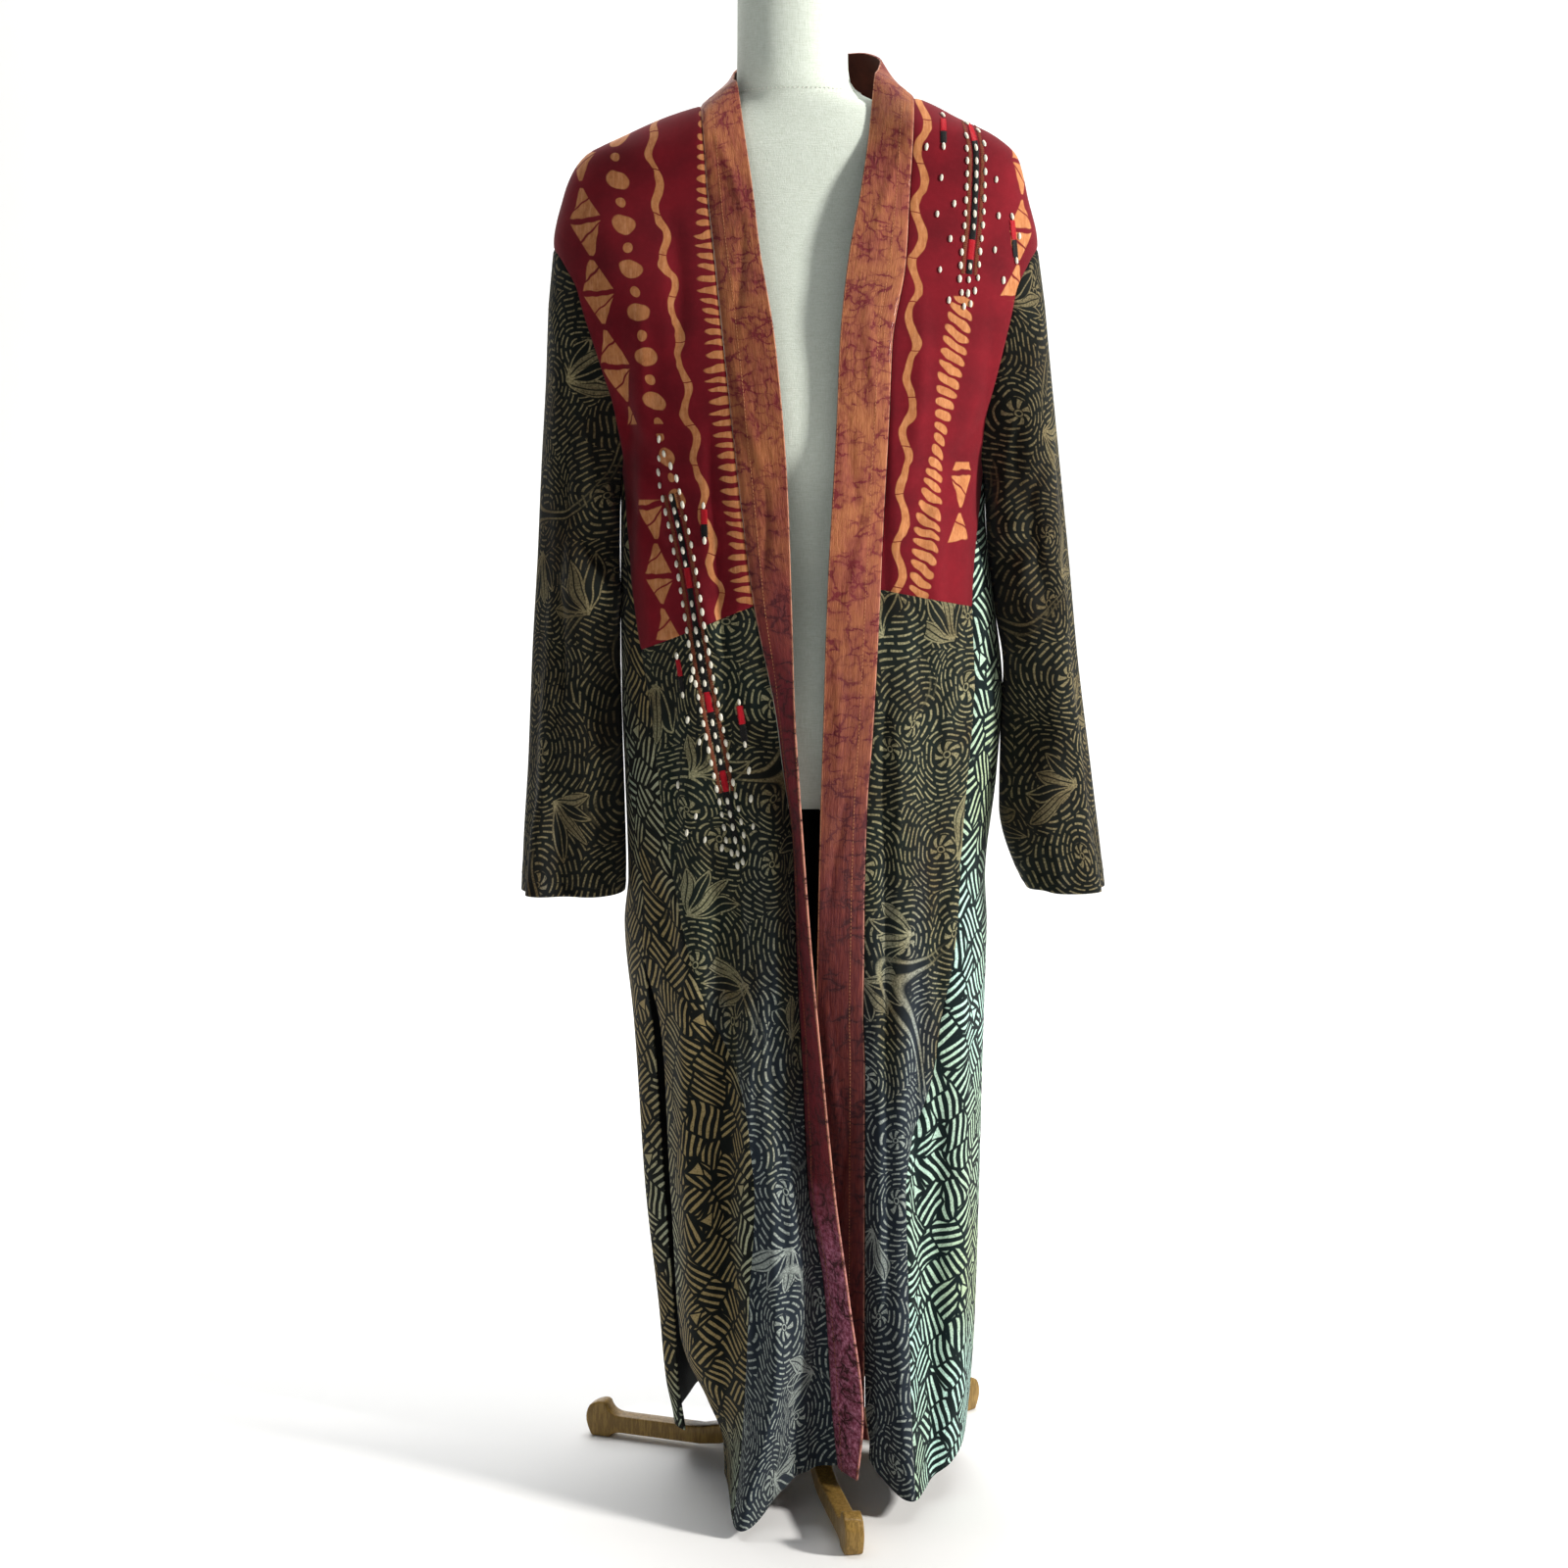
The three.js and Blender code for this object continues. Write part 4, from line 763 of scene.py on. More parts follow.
def body_panels() -> list[Panel]:
    """Every panel of the body, in the order in which they are sewn."""
    right, left, back = partial(SURFACE.front, Side.RIGHT), partial(SURFACE.front, Side.LEFT), SURFACE.back
    right_out = outer_line(SIDE_SEAMS.front_right, BODY.front_right, ARMHOLE.front)
    left_out = outer_line(SIDE_SEAMS.front_left, BODY.front_left, ARMHOLE.front)
    right_cut = (inner_line(right_start, BODY.front_right), right_out)
    left_cut = (inner_line(LEFT_BAND.seam, BODY.front_left), left_out)
    back_right = angle_from(180, -1, outer_line(SIDE_SEAMS.back_right, BODY.side_right, ARMHOLE.back))
    back_left = angle_from(180, 1, outer_line(SIDE_SEAMS.back_left, BODY.side_left, ARMHOLE.back))
    back_cut, left_slit = (back_right, back_left), angle_from(360, -1, SIDE_EDGES.back_left)
    right_hem, left_hem, back_hem = (by_angle(hem.z) for hem in (RIGHT_HEM, LEFT_HEM, BACK_HEM))
    right_yoke, left_yoke, back_yoke = by_x(RIGHT_YOKE.z), by_x(LEFT_YOKE.z), level(BACK_YOKE_SEAM)
    right_top, left_top, underarm = level(YOKE_TOP_RIGHT), level(YOKE_TOP_LEFT), level(UNDERARM)
    right_side, left_side = SIDE_SEAMS.front_right, SIDE_SEAMS.front_left
    sewn, hemmed = Edge.SEWN, Edge.HEMMED
    yoke, lower = (sewn, sewn, sewn, sewn), (sewn, sewn, hemmed, sewn)
    slit, rear_slit = (sewn, hemmed, hemmed, sewn), (hemmed, sewn, hemmed, sewn)
    right_gore, left_gore = (right_out, SIDE_EDGES.front_right), (left_out, SIDE_EDGES.front_left)
    right_rear = (SIDE_EDGES.back_right, back_right)
    rows = (
        ("yoke_front_right", right, right_cut, right_yoke, right_top, yoke, (40, 120), right_start),
        ("yoke_front_left", left, left_cut, left_yoke, left_top, yoke, (34, 110), LEFT_BAND.seam),
        ("yoke_back", back, back_cut, back_yoke, neck_edge, yoke, (90, 110)),
        ("front_lower_right", right, right_cut, right_hem, right_yoke, lower, (60, 190), right_start),
        ("front_lower_left", left, left_cut, left_hem, left_yoke, lower, (44, 190), LEFT_BAND.seam),
        ("back_lower", back, back_cut, back_hem, back_yoke, lower, (80, 180)),
        ("side_front_right", right, right_gore, right_hem, underarm, slit, (26, 210), right_side),
        ("side_front_left", left, left_gore, left_hem, underarm, slit, (26, 210), left_side),
        ("side_back_right", back, right_rear, back_hem, underarm, rear_slit, (30, 200), right_side),
        ("side_back_left", back, (left_slit, back_left), back_hem, underarm, rear_slit, (24, 200), left_side),
    )
    return [Panel(*row) for row in rows]


@dataclass
class Sleeve:
    """A wide straight sleeve that hangs in soft folds.

    Attributes:
        name: The CAD node that the piece stands for.
        side: The wearer's side.
        rings: Inner and outer edge, depth and middle of rings, from the armhole down.
        folds: Long folds: place round the arm, begin, middle and end along it, width, height.
        creases: Small creases, by their place round and along the arm.
        power: Power of the rings' shape.
        slant: How far a fold turns along the arm.
        stretch: Scale of a turn against the length, for creases.
        snug: How much nearer the body the inner side lies than in the thicker wall.
        ease: How far the armhole's lower end stands off the body.
        tuck: How far the sewn end dips.
        tuck_reach: How far along the arm it dips, and how far it moves in.
        row_step: Distance of the rows.
        spans: Columns and rows.
    """

    name: str
    side: Side
    rings: SimpleNamespace
    folds: tuple[tuple[float, ...], ...]
    creases: tuple[Crease, ...]
    power: ClassVar[float] = 2.2
    slant: ClassVar[float] = 0.12
    stretch: ClassVar[float] = 0.62
    snug: ClassVar[float] = 1.2
    ease: ClassVar[float] = 1.2
    tuck: ClassVar[float] = 1.5
    tuck_reach: ClassVar[float] = 2.4
    row_step: ClassVar[float] = 4.0
    spans: ClassVar[tuple[int, int]] = (112, 150)

    def armhole(self, turn: Array) -> Array:
        """The armhole's edge, at shares of a turn."""
        z = UNDERARM + (SHOULDER_END - UNDERARM) * (1 - np.cos(2 * np.pi * turn)) / 2
        front = turn < 0.5
        opening = np.where(front, ARMHOLE.front(z), ARMHOLE.back(z))
        rear = 90 + opening if self.side is Side.RIGHT else 270 - opening
        point = np.where(front[..., None], SURFACE.front(self.side, 90 - opening, z), SURFACE.back(rear, z))
        low = (SHOULDER_END - z) / (SHOULDER_END - UNDERARM)
        point[..., 0] += self.side.value * self.ease * low * low
        return point

    def wall(self) -> Wall:
        """The sleeve's wall, from the armhole down to the cuff."""
        columns, rows = self.spans
        turn = np.broadcast_to(np.arange(columns)[None, :] / columns, (rows + 1, columns))
        along = np.broadcast_to(shares(rows, self.row_step * rows)[: rows + 1, None], (rows + 1, columns))
        rings = self.rings
        ring = along * rings.last
        held = np.maximum(ring, 1.0)
        cos = signed_power(np.cos(2 * np.pi * turn), 2 / self.power)
        sin = signed_power(np.sin(2 * np.pi * turn), 2 / self.power)
        share = (1 - cos) / 2
        x = rings.inner_x(held) + (rings.outer_x(held) - rings.inner_x(held)) * share
        z = rings.inner_z(held) + (rings.outer_z(held) - rings.inner_z(held)) * share
        x = x - self.side.value * self.snug * (1 - share)
        points = np.stack([x, self.rings.mid_y(held) - sin * self.rings.half_depth(held), z], -1)
        start = self.armhole(turn)
        blend = np.clip(1 - ring, 0, 1)[..., None]
        points = points * (1 - blend) + start * blend
        outward = points - points.mean(1, keepdims=True)
        out = np.zeros(turn.shape)
        for at, begin, middle, end, width, depth in self.folds:
            down = (end - along) / (end - middle)
            rise = np.where(along < middle, (along - begin) / (middle - begin), down)
            gap = np.abs(turn - at + (along - middle) * self.slant)
            out += depth * np.maximum(0, rise) * np.exp(-((gap / width) ** 2))
        for one in self.creases:
            out += one.height(turn, along, self.stretch) + one.height(turn - 1, along, self.stretch)
        wall = Wall(points, np.zeros((*turn.shape, 2)), outward, True)
        wall.points = points + wall.normals() * out[..., None]
        height = wall.points[..., 2]
        fold = wall.points[::-1, columns // 2]
        outermost = np.interp(height, fold[:, 2], np.abs(fold[:, 0]))
        reach = outermost - np.abs(wall.points[..., 0])
        reach += 0.85 * self.rings.half_depth(held) * np.where(share > 0.5, np.abs(sin), 1.0)
        wall.uv = np.stack([np.where(turn < 0.5, -reach, reach), height], -1) * MM
        wall.closing = reach[:, 0] * MM
        down = np.linalg.norm(np.diff(wall.points, axis=0), axis=-1).mean(1)
        left = np.concatenate([np.cumsum(down[::-1])[::-1], [0.0]])[:, None]
        begun = np.concatenate([[0.0], np.cumsum(down)])[:, None]
        tuck = np.exp(-((begun / self.tuck_reach) ** 2))[..., None]
        wall.points = wall.points - wall.normals() * self.tuck * tuck
        wall.points[..., 0] -= self.side.value * self.tuck_reach * tuck[..., 0]
        wall.thicker = np.broadcast_to(folded(left, CUFF_REACH), turn.shape)
        return wall


@dataclass
class Band:
    """One half of the front band, which runs up into the standing collar.

    Attributes:
        name: The CAD node that the piece stands for.
        side: The wearer's side.
        edges: The band's seam and free edge at each height of the front.
        collar: The collar's rim, from the shoulder to the nape.
        creases: Small creases, by their distance across and along the band.
        start: Distance from the seam.
        lapel_from: Height from which the free edge rises.
        lapel_rise: How far it rises.
        row_step: Distance of the rows.
        nape_half_gap: Distance of its end from the middle of the nape.
        crown: How far the folded cloth rises between its edges.
        dip: How far its sewn edge dips.
        dip_reach: How far from the seam it dips.
        half: Extra half thickness of the double layer.
        inside: A place inside the garment.
    """

    name: str
    side: Side
    edges: SimpleNamespace
    collar: SimpleNamespace
    creases: tuple[Crease, ...]
    start: ClassVar[float] = 0.9
    lapel_from: ClassVar[float] = 1180.0
    lapel_rise: ClassVar[float] = 22.0
    row_step: ClassVar[float] = 4.5
    nape_half_gap: ClassVar[float] = 0.15
    crown: ClassVar[float] = 1.6
    dip: ClassVar[float] = 0.8
    dip_reach: ClassVar[float] = 2.0
    half: ClassVar[float] = 0.35
    inside: ClassVar[Array] = np.array([8.0, 30.0, 0.0])

    def rows(self) -> tuple[Array, Array]:
        """The seam line and the free edge, from the hem to the nape."""
        z = np.arange(self.edges.first, self.edges.last, self.row_step)
        z = np.append(z[self.edges.last - z > 2], self.edges.last)
        angle = angle_at(self.edges.seam(z) * self.side.value, front_width(self.side, z))
        inner = SURFACE.front(self.side, angle - 0.5, z)
        seam = SURFACE.front(self.side, angle, z)
        seam = seam + unit(inner - seam) * self.start
        above = (z - self.lapel_from) / (self.edges.last - self.lapel_from)
        rise = self.lapel_rise * np.maximum(0, above) ** 1.5
        free = np.stack([self.edges.free(z), self.edges.free_y(z), z + rise], -1)
        t = np.linspace(0, 1, 41)
        turn = 180 + self.side.value * NECK_TURN * (1 - t)
        neck = SURFACE.back(turn, back_neck(turn))
        rim = np.stack([self.collar.x(t), self.collar.y(t), self.collar.z(t)], -1)
        neck = neck + unit(rim - neck) * self.start
        neck[-1, 0] = rim[-1, 0] = self.collar.x(1.0) + self.side.value * self.nape_half_gap
        return np.concatenate([seam, neck[1:]]), np.concatenate([free, rim[1:]])

    def wall(self) -> Wall:
        """The band's wall, a double layer with rolled edges and fine wrinkles."""
        seam, free = self.rows()
        across = shares(14, 46.0, (0.8, 1.8, 3.2))[None, :, None]
        points = seam[:, None] * (1 - across) + free[:, None] * across
        steps = np.linalg.norm(np.diff(points.mean(1), axis=0), axis=-1)
        along = np.concatenate([[0.0], np.cumsum(steps)])[:, None]
        broad = np.linalg.norm(free - seam, axis=-1)[:, None] * across[..., 0]
        outward = points - self.inside
        outward[..., 2] = 0
        crown = self.crown * np.sin(np.pi * across[..., 0]) ** 0.6
        out = np.broadcast_to(crown, along.shape[:1] + crown.shape[1:]).copy()
        for one in self.creases:
            out += one.height(broad, along + 0 * broad)
        out -= self.dip * np.exp(-((broad / self.dip_reach) ** 2))
        # Distance to the nearer edge, which the copper finish uses for its painted highlight along both
        # edges.
        near = np.minimum(broad, broad[:, -1:] - broad)
        wall = Wall(points, np.zeros((*broad.shape, 2)), outward, thicker=self.half, gap=near)
        wall.points = points + wall.normals() * out[..., None]
        wall.uv = np.stack([broad * MM, (along + 0 * broad) * MM], -1)
        return wall


RIGHT_SLEEVE_FOLDS = (
    (0.27, 0.5, 0.95, 1.05, 0.05, -16),
    (0.16, 0.42, 0.72, 1.0, 0.07, 6),
    (0.36, 0.2, 0.5, 0.8, 0.06, -6),
    (0.75, 0.3, 0.7, 1.0, 0.08, -7),
)
LEFT_SLEEVE_FOLDS = (
    (0.22, 0.3, 0.52, 0.66, 0.07, -9),
    (0.3, 0.5, 0.64, 0.8, 0.06, 8),
    (0.14, 0.62, 0.9, 1.05, 0.06, -8),
    (0.78, 0.3, 0.7, 1.0, 0.08, -7),
)


def paint(red: float, green: float, blue: float) -> tuple[float, float, float, float]:
    """A colour of 0 to 255 parts as the numbers that a shader takes."""
    linear = lambda c: c / 12.92 if c <= 0.04045 else ((c + 0.055) / 1.055) ** 2.4
    return (linear(red / 255), linear(green / 255), linear(blue / 255), 1.0)


def operator(operation: str) -> Callable[..., "Sock"]:
    """A method of Sock that adds one Math node."""

    def method(self: "Sock", *others: "Sock | float") -> "Sock":
        """The operation's result on this number and the others."""
        return self.math(operation, *others)

    return method


class Sock:
    """A number between shader nodes; arithmetic on it adds Math nodes."""

    __add__ = __radd__ = operator("ADD")
    __sub__ = operator("SUBTRACT")
    __mul__ = __rmul__ = operator("MULTIPLY")
    __truediv__ = operator("DIVIDE")
    __mod__ = operator("FLOORED_MODULO")
    __pow__ = operator("POWER")
    __abs__ = operator("ABSOLUTE")
    least, most = operator("MINIMUM"), operator("MAXIMUM")
    sine, cosine, root = operator("SINE"), operator("COSINE"), operator("SQRT")
    floor, fraction, rounded = operator("FLOOR"), operator("FRACT"), operator("ROUND")
    arctan = operator("ARCTAN2")

    def __init__(self, graph: "Graph", socket: bpy.types.NodeSocket) -> None:
        """Wraps a socket of one graph."""
        self.graph, self.socket = graph, socket

    def math(self, operation: str, *others: "Sock | float", clamp: bool = False) -> "Sock":
        """The result of one Math node on this number and the others."""
        settings = {"operation": operation, "use_clamp": clamp}
        return self.graph.out("ShaderNodeMath", settings, dict(enumerate((self, *others))))

    def __rsub__(self, other: float) -> "Sock":
        """A number less this one."""
        return (self * -1.0) + other

    def held(self) -> "Sock":
        """The number kept between 0 and 1."""
        return self.math("ADD", 0.0, clamp=True)

    def centred(self, pitch: float) -> "Sock":
        """Distance from the middle of the step that a place lies in, from -pitch/2 to pitch/2."""
        return ((self / pitch).fraction() - 0.5) * pitch

    def below(self, limit: "Sock | float", soft: float) -> "Sock":
        """1 where the number is below a limit and 0 above it, with a soft edge."""
        return ((limit - self) / (2 * soft) + 0.5).held()

    def between(self, low: float, high: float, soft: float) -> "Sock":
        """1 between two limits, with soft edges."""
        return self.below(high, soft) * (1 - self.below(low, soft))


def new_node(
    tree: bpy.types.NodeTree, kind: str, settings: dict | None = None, inputs: dict | None = None
) -> bpy.types.Node:
    """Adds one node to a tree.

    Args:
        tree: The tree.
        kind: The node's type.
        settings: Its settings.
        inputs: Values or links of its sockets, by name or number.

    Returns:
        The node.
    """
    made = tree.nodes.new(kind)
    for key, value in (settings or {}).items():
        setattr(made, key, value)
    for key, value in (inputs or {}).items():
        if isinstance(value, bpy.types.NodeSocket):
            tree.links.new(value, made.inputs[key])
        else:
            made.inputs[key].default_value = value
    return made


class Graph:
    """One material's nodes."""

    GAP = "seam_gap"
    CLOTH_MAP = "cloth"

    def __init__(self, name: str) -> None:
        """Starts an empty material."""
        self.material = bpy.data.materials.new(name)
        self.material.use_nodes = True
        self.tree = self.material.node_tree
        self.tree.nodes.clear()

    def node(self, kind: str, settings: dict | None = None, inputs: dict | None = None) -> bpy.types.Node:
        """Adds one node, as new_node does, with Socks among its inputs."""
        given = (inputs or {}).items()
        plain = {key: value.socket if isinstance(value, Sock) else value for key, value in given}
        return new_node(self.tree, kind, settings, plain)

    def out(
        self, kind: str, settings: dict | None = None, inputs: dict | None = None, output: int | str = 0
    ) -> Sock:
        """Adds one node and returns one of its outputs as a number."""
        return Sock(self, self.node(kind, settings, inputs).outputs[output])

    def mix(self, factor: Sock | float, first: object, second: object, blend: str = "MIX") -> Sock:
        """A colour between two, by a factor."""
        settings = {"data_type": "RGBA", "blend_type": blend, "clamp_factor": True}
        return self.out("ShaderNodeMix", settings, {0: factor, 6: first, 7: second}, 2)

    def place(self, x: Sock | float, y: Sock | float, z: Sock | float = 0.0) -> Sock:
        """A place or direction from its parts."""
        return self.out("ShaderNodeCombineXYZ", None, {0: x, 1: y, 2: z})

    def parts(self, vector: Sock) -> tuple[Sock, Sock, Sock]:
        """The three parts of a place or colour."""
        split = self.node("ShaderNodeSeparateXYZ", None, {0: vector})
        return tuple(Sock(self, s) for s in split.outputs)

    def cloth(self) -> tuple[Sock, Sock]:
        """Place on the flat cloth, in millimetres."""
        u, v, _ = self.parts(self.out("ShaderNodeUVMap", {"uv_map": self.CLOTH_MAP}))
        return u * PER_METRE, v * PER_METRE

    def seam_gap(self) -> Sock:
        """Distance from the piece's first side, in millimetres."""
        return self.out("ShaderNodeAttribute", {"attribute_name": self.GAP}, None, "Fac") * PER_METRE

    def solid_place(self) -> Sock:
        """Place in the object, in metres."""
        return self.out("ShaderNodeTexCoord", None, None, "Object")

    def noise(
        self, place: Sock, size: float, detail: float = 2.0, rough: float = 0.5, output: int | str = 0
    ) -> Sock:
        """Smooth noise from 0 to 1, its lumps about as large as a size in the place's units."""
        inputs = {"Vector": place, "Scale": 1.0 / size, "Detail": detail, "Roughness": rough}
        return self.out("ShaderNodeTexNoise", {"noise_dimensions": "3D"}, inputs, output)

    def cells(self, x: Sock, y: Sock, size: float, loose: float, square: bool = False) -> SimpleNamespace:
        """Scattered cells: place in the cell, distance from its middle and its edge, and chance.

        Args:
            x: First coordinate, in millimetres.
            y: Second coordinate, in millimetres.
            size: Mean size of a cell.
            loose: How far the middles stray from a grid, from 0 to 1.
            square: True for blocks with straight, square-cut sides.

        Returns:
            x, y and radius from the middle, edge distance, and three chances a cell.
        """
        place = self.place(x / size, y / size)
        inputs = {"Vector": place, "Scale": 1.0, "Randomness": loose}
        distance = "CHEBYCHEV" if square else "EUCLIDEAN"
        kind = {"voronoi_dimensions": "2D", "feature": "F1", "distance": distance}
        nearest = self.node("ShaderNodeTexVoronoi", kind, inputs)
        if square:
            second = self.out("ShaderNodeTexVoronoi", kind | {"feature": "F2"}, inputs)
            edge = (second - Sock(self, nearest.outputs["Distance"])) * 0.5
        else:
            edge = self.out("ShaderNodeTexVoronoi", kind | {"feature": "DISTANCE_TO_EDGE"}, inputs)
        px, py, _ = self.parts(Sock(self, nearest.outputs["Position"]))
        dx, dy = x - px * size, y - py * size
        radius = (dx * dx + dy * dy).root()
        chances = self.parts(Sock(self, nearest.outputs["Color"]))
        return SimpleNamespace(x=dx, y=dy, radius=radius, edge=edge * size, chance=chances)

    def weave(self, x: Sock, y: Sock, thread: float) -> Sock:
        """Height of a plain weave of a thread's width, from 0 to 1."""
        return (x * (math.pi / thread)).sine() * (y * (math.pi / thread)).sine() * 0.5 + 0.5

    def shader(
        self,
        colour: Sock | tuple,
        roughness: Sock | float,
        height: Sock | None = None,
        depth: float = 0.0002,
        sheen: float = 0.0,
        coat: float = 0.0,
        metallic: float = 0.0,
        shine: float = 0.14,
    ) -> bpy.types.Material:
        """Closes the material with one shader.

        Args:
            colour: Base colour.
            roughness: Roughness.
            height: Height of the surface's fine relief, from 0 to 1.
            depth: What a height of 1 stands for, in metres.
            sheen: Weight of the nap's sheen.
            coat: Weight of a clear coat.
            metallic: Weight of metal.
            shine: Level of the plain reflection.

        Returns:
            The material.
        """
        inputs = {"Base Color": colour, "Roughness": roughness, "Sheen Weight": sheen}
        inputs |= {"Coat Weight": coat, "Metallic": metallic, "Specular IOR Level": shine}
        if height is not None:
            bump = {"Strength": 1.0, "Distance": depth, "Height": height}
            inputs["Normal"] = self.out("ShaderNodeBump", None, bump)
        surface = self.node("ShaderNodeBsdfPrincipled", None, inputs)
        self.node("ShaderNodeOutputMaterial", None, {"Surface": surface.outputs[0]})
        return self.material


class Motif(Enum):
    """The batik's motifs, each drawn down a column of the cloth."""

    WAVE = "wave"
    OVALS = "ovals"
    TEETH = "teeth"
    RUNGS = "rungs"
    LEAVES = "leaves"


@dataclass(frozen=True)
class Column:
    """One column of batik motifs.

    Attributes:
        motif: What the column repeats.
        centre: Distance from the middle of the front at a height of 1 m, in millimetres.
        drift: How far the column strays outwards for each millimetre of height.
        low: Height at which it ends below.
        high: Height at which it ends above.
        width: Width of the motifs.
        pitch: Height of one repeat.
    """

    motif: Motif
    centre: float
    drift: float
    low: float
    high: float
    width: float
    pitch: float

    def mask(self, graph: Graph, u: Sock, v: Sock, gap: Sock, wobble: Sock) -> Sock:
        """Where the column leaves wax on the cloth.

        Args:
            graph: The material's nodes; not used.
            u: Distance across the cloth, in millimetres.
            v: Height on the cloth.
            gap: Distance from the band's seam.
            wobble: Slow noise about 0 that makes the motifs uneven.

        Returns:
            1 inside the motifs.
        """
        s = u - (self.centre + (v - 1000.0) * self.drift)
        shifted = v + wobble * 16.0
        half = self.width / 2
        if self.motif is Motif.WAVE:
            off = s - (shifted * (2 * math.pi / self.pitch)).sine() * 4.0 - wobble * 9.0
            mask = abs(off).below(wobble * 5.0 + half * 0.86, 0.4)
            mask = mask * (1 - abs(shifted.centred(self.pitch * 0.83)).below(0.5, 0.3))
        elif self.motif is Motif.OVALS:
            large = (shifted / self.pitch).floor() % 2.0
            local = shifted.centred(self.pitch)
            across = s / (large * (half * 0.56) + half * 0.42)
            along = local / (large * (self.pitch * 0.16) + self.pitch * 0.25)
            mask = (across * across + along * along).below(1.0, 0.12)
        elif self.motif is Motif.TEETH:
            local = shifted.centred(self.pitch) / (self.pitch * 0.31)
            reach = gap / (self.width * (1.0 + wobble * 0.9) * ((1345.0 - v) / 160.0).least(1.0))
            mask = (reach * reach + local * local).below(1.0, 0.14)
        elif self.motif is Motif.RUNGS:
            local = (shifted + s * 0.5).centred(self.pitch) / (self.pitch * 0.37)
            swell = abs((v * (math.pi / 170.0)).sine()) * 0.55 + 0.45
            across = abs(s) / (swell * half)
            mask = (across**3.0 + abs(local) ** 2.4).below(1.0, 0.16)
        else:
            turn = (shifted / self.pitch).floor() % 2.0 * 2.0 - 1.0
            local = shifted.centred(self.pitch)
            taper = (local * turn / self.pitch + 0.52) * self.width * 0.62
            mask = (abs(s + wobble * 6.0) - taper).below(0.0, 0.5) * abs(local).below(self.pitch * 0.42, 0.5)
            vein = abs(s * 0.5 + local * 0.8 - 2.0).below(0.8, 0.4)
            mask = mask * (1 - vein)
        return mask * v.between(self.low, self.high, 0.6)


RIGHT_COLUMNS = (
    Column(Motif.TEETH, 0, 0, 800, 1345, 17, 10.2),
    Column(Motif.WAVE, 97, 0.142, 800, 1345, 8.6, 47),
    Column(Motif.OVALS, 129, 0.16, 1035, 1345, 23, 20.5),
    Column(Motif.OVALS, 128, 0.25, 950, 1026, 19, 19.5),
    Column(Motif.LEAVES, 166, 0.17, 1035, 1345, 30, 34),
    Column(Motif.LEAVES, 157, 0.13, 800, 965, 27, 32),
)
LEFT_COLUMNS = (
    Column(Motif.WAVE, 98, 0.055, 800, 1345, 8.6, 52),
    Column(Motif.RUNGS, 131, 0.147, 800, 1152, 27, 10.8),
    Column(Motif.LEAVES, 168, 0.1, 925, 1000, 24, 33),
    Column(Motif.LEAVES, 190, 0.12, 1150, 1345, 26, 32),
)
BACK_COLUMNS = (
    Column(Motif.RUNGS, 14, 0.03, 800, 1345, 22, 10.8),
    Column(Motif.WAVE, 50, 0.06, 800, 1345, 8.6, 49),
    Column(Motif.OVALS, 88, 0.08, 800, 1345, 23, 20.5),
    Column(Motif.WAVE, 124, 0.1, 800, 1345, 8.6, 47),
    Column(Motif.LEAVES, 164, 0.12, 800, 1345, 30, 34),
)


@dataclass(frozen=True)
class CrimsonBatik:
    """Crimson cotton with ochre wax-resist motifs."""

    name: str
    columns: tuple[Column, ...]
    slot: str = "crimson_batik"
    ground: tuple = paint(128, 15, 30)
    shade: tuple = paint(98, 8, 22)
    wax: tuple = paint(190, 124, 76)
    stain: tuple = paint(144, 76, 42)
    back: tuple = paint(92, 20, 26)

    def face(self) -> bpy.types.Material:
        """The cloth's outer face."""
        graph = Graph(self.name)
        u, v = graph.cloth()
        u = abs(u)
        place = graph.place(u, v)
        gap = graph.seam_gap()
        wobble = graph.noise(place, 34.0, 2.0) - 0.5
        masks = [c.mask(graph, u, v, gap, wobble) for c in self.columns]
        mask = masks[0]
        for one in masks[1:]:
            mask = mask.most(one)
        mottle = graph.noise(place, 60.0, 4.0, 0.6)
        fine = graph.noise(place, 5.0, 4.0, 0.7)
        ground = graph.mix((mottle - 0.36) * 2.4, self.shade, self.ground)
        ground = graph.mix((fine - 0.5) * 0.5, ground, paint(160, 40, 52))
        streak = graph.noise(graph.place(u * 3.0, v * 0.5), 9.0, 4.0, 0.7)
        wax = graph.mix((graph.noise(place, 9.0, 5.0, 0.7) - 0.42) * 2.2, self.wax, self.stain)
        wax = graph.mix((streak - 0.48) * 3.4, wax, paint(212, 150, 104))
        colour = graph.mix(mask, ground, wax)
        height = graph.weave(u, v, 0.55) * 0.5 + fine * 0.8
        return graph.shader(colour, 0.82 - mask * 0.12, height, 0.00022, 0.06)

    def reverse(self) -> bpy.types.Material:
        """The cloth's inner face."""
        return plain_cloth(self.name + "_reverse", self.back, self.shade)


def plain_cloth(name: str, light: tuple, dark: tuple, roughness: float = 0.9) -> bpy.types.Material:
    """A plain, slightly mottled cloth face in two near colours."""
    graph = Graph(name)
    u, v = graph.cloth()
    place = graph.place(u, v)
    mottle = graph.noise(place, 22.0, 5.0, 0.65)
    height = graph.weave(u, v, 0.6) * 0.5 + graph.noise(place, 4.0, 3.0) * 0.8
    return graph.shader(graph.mix((mottle - 0.3) * 2.0, dark, light), roughness, height, 0.0002, 0.1)


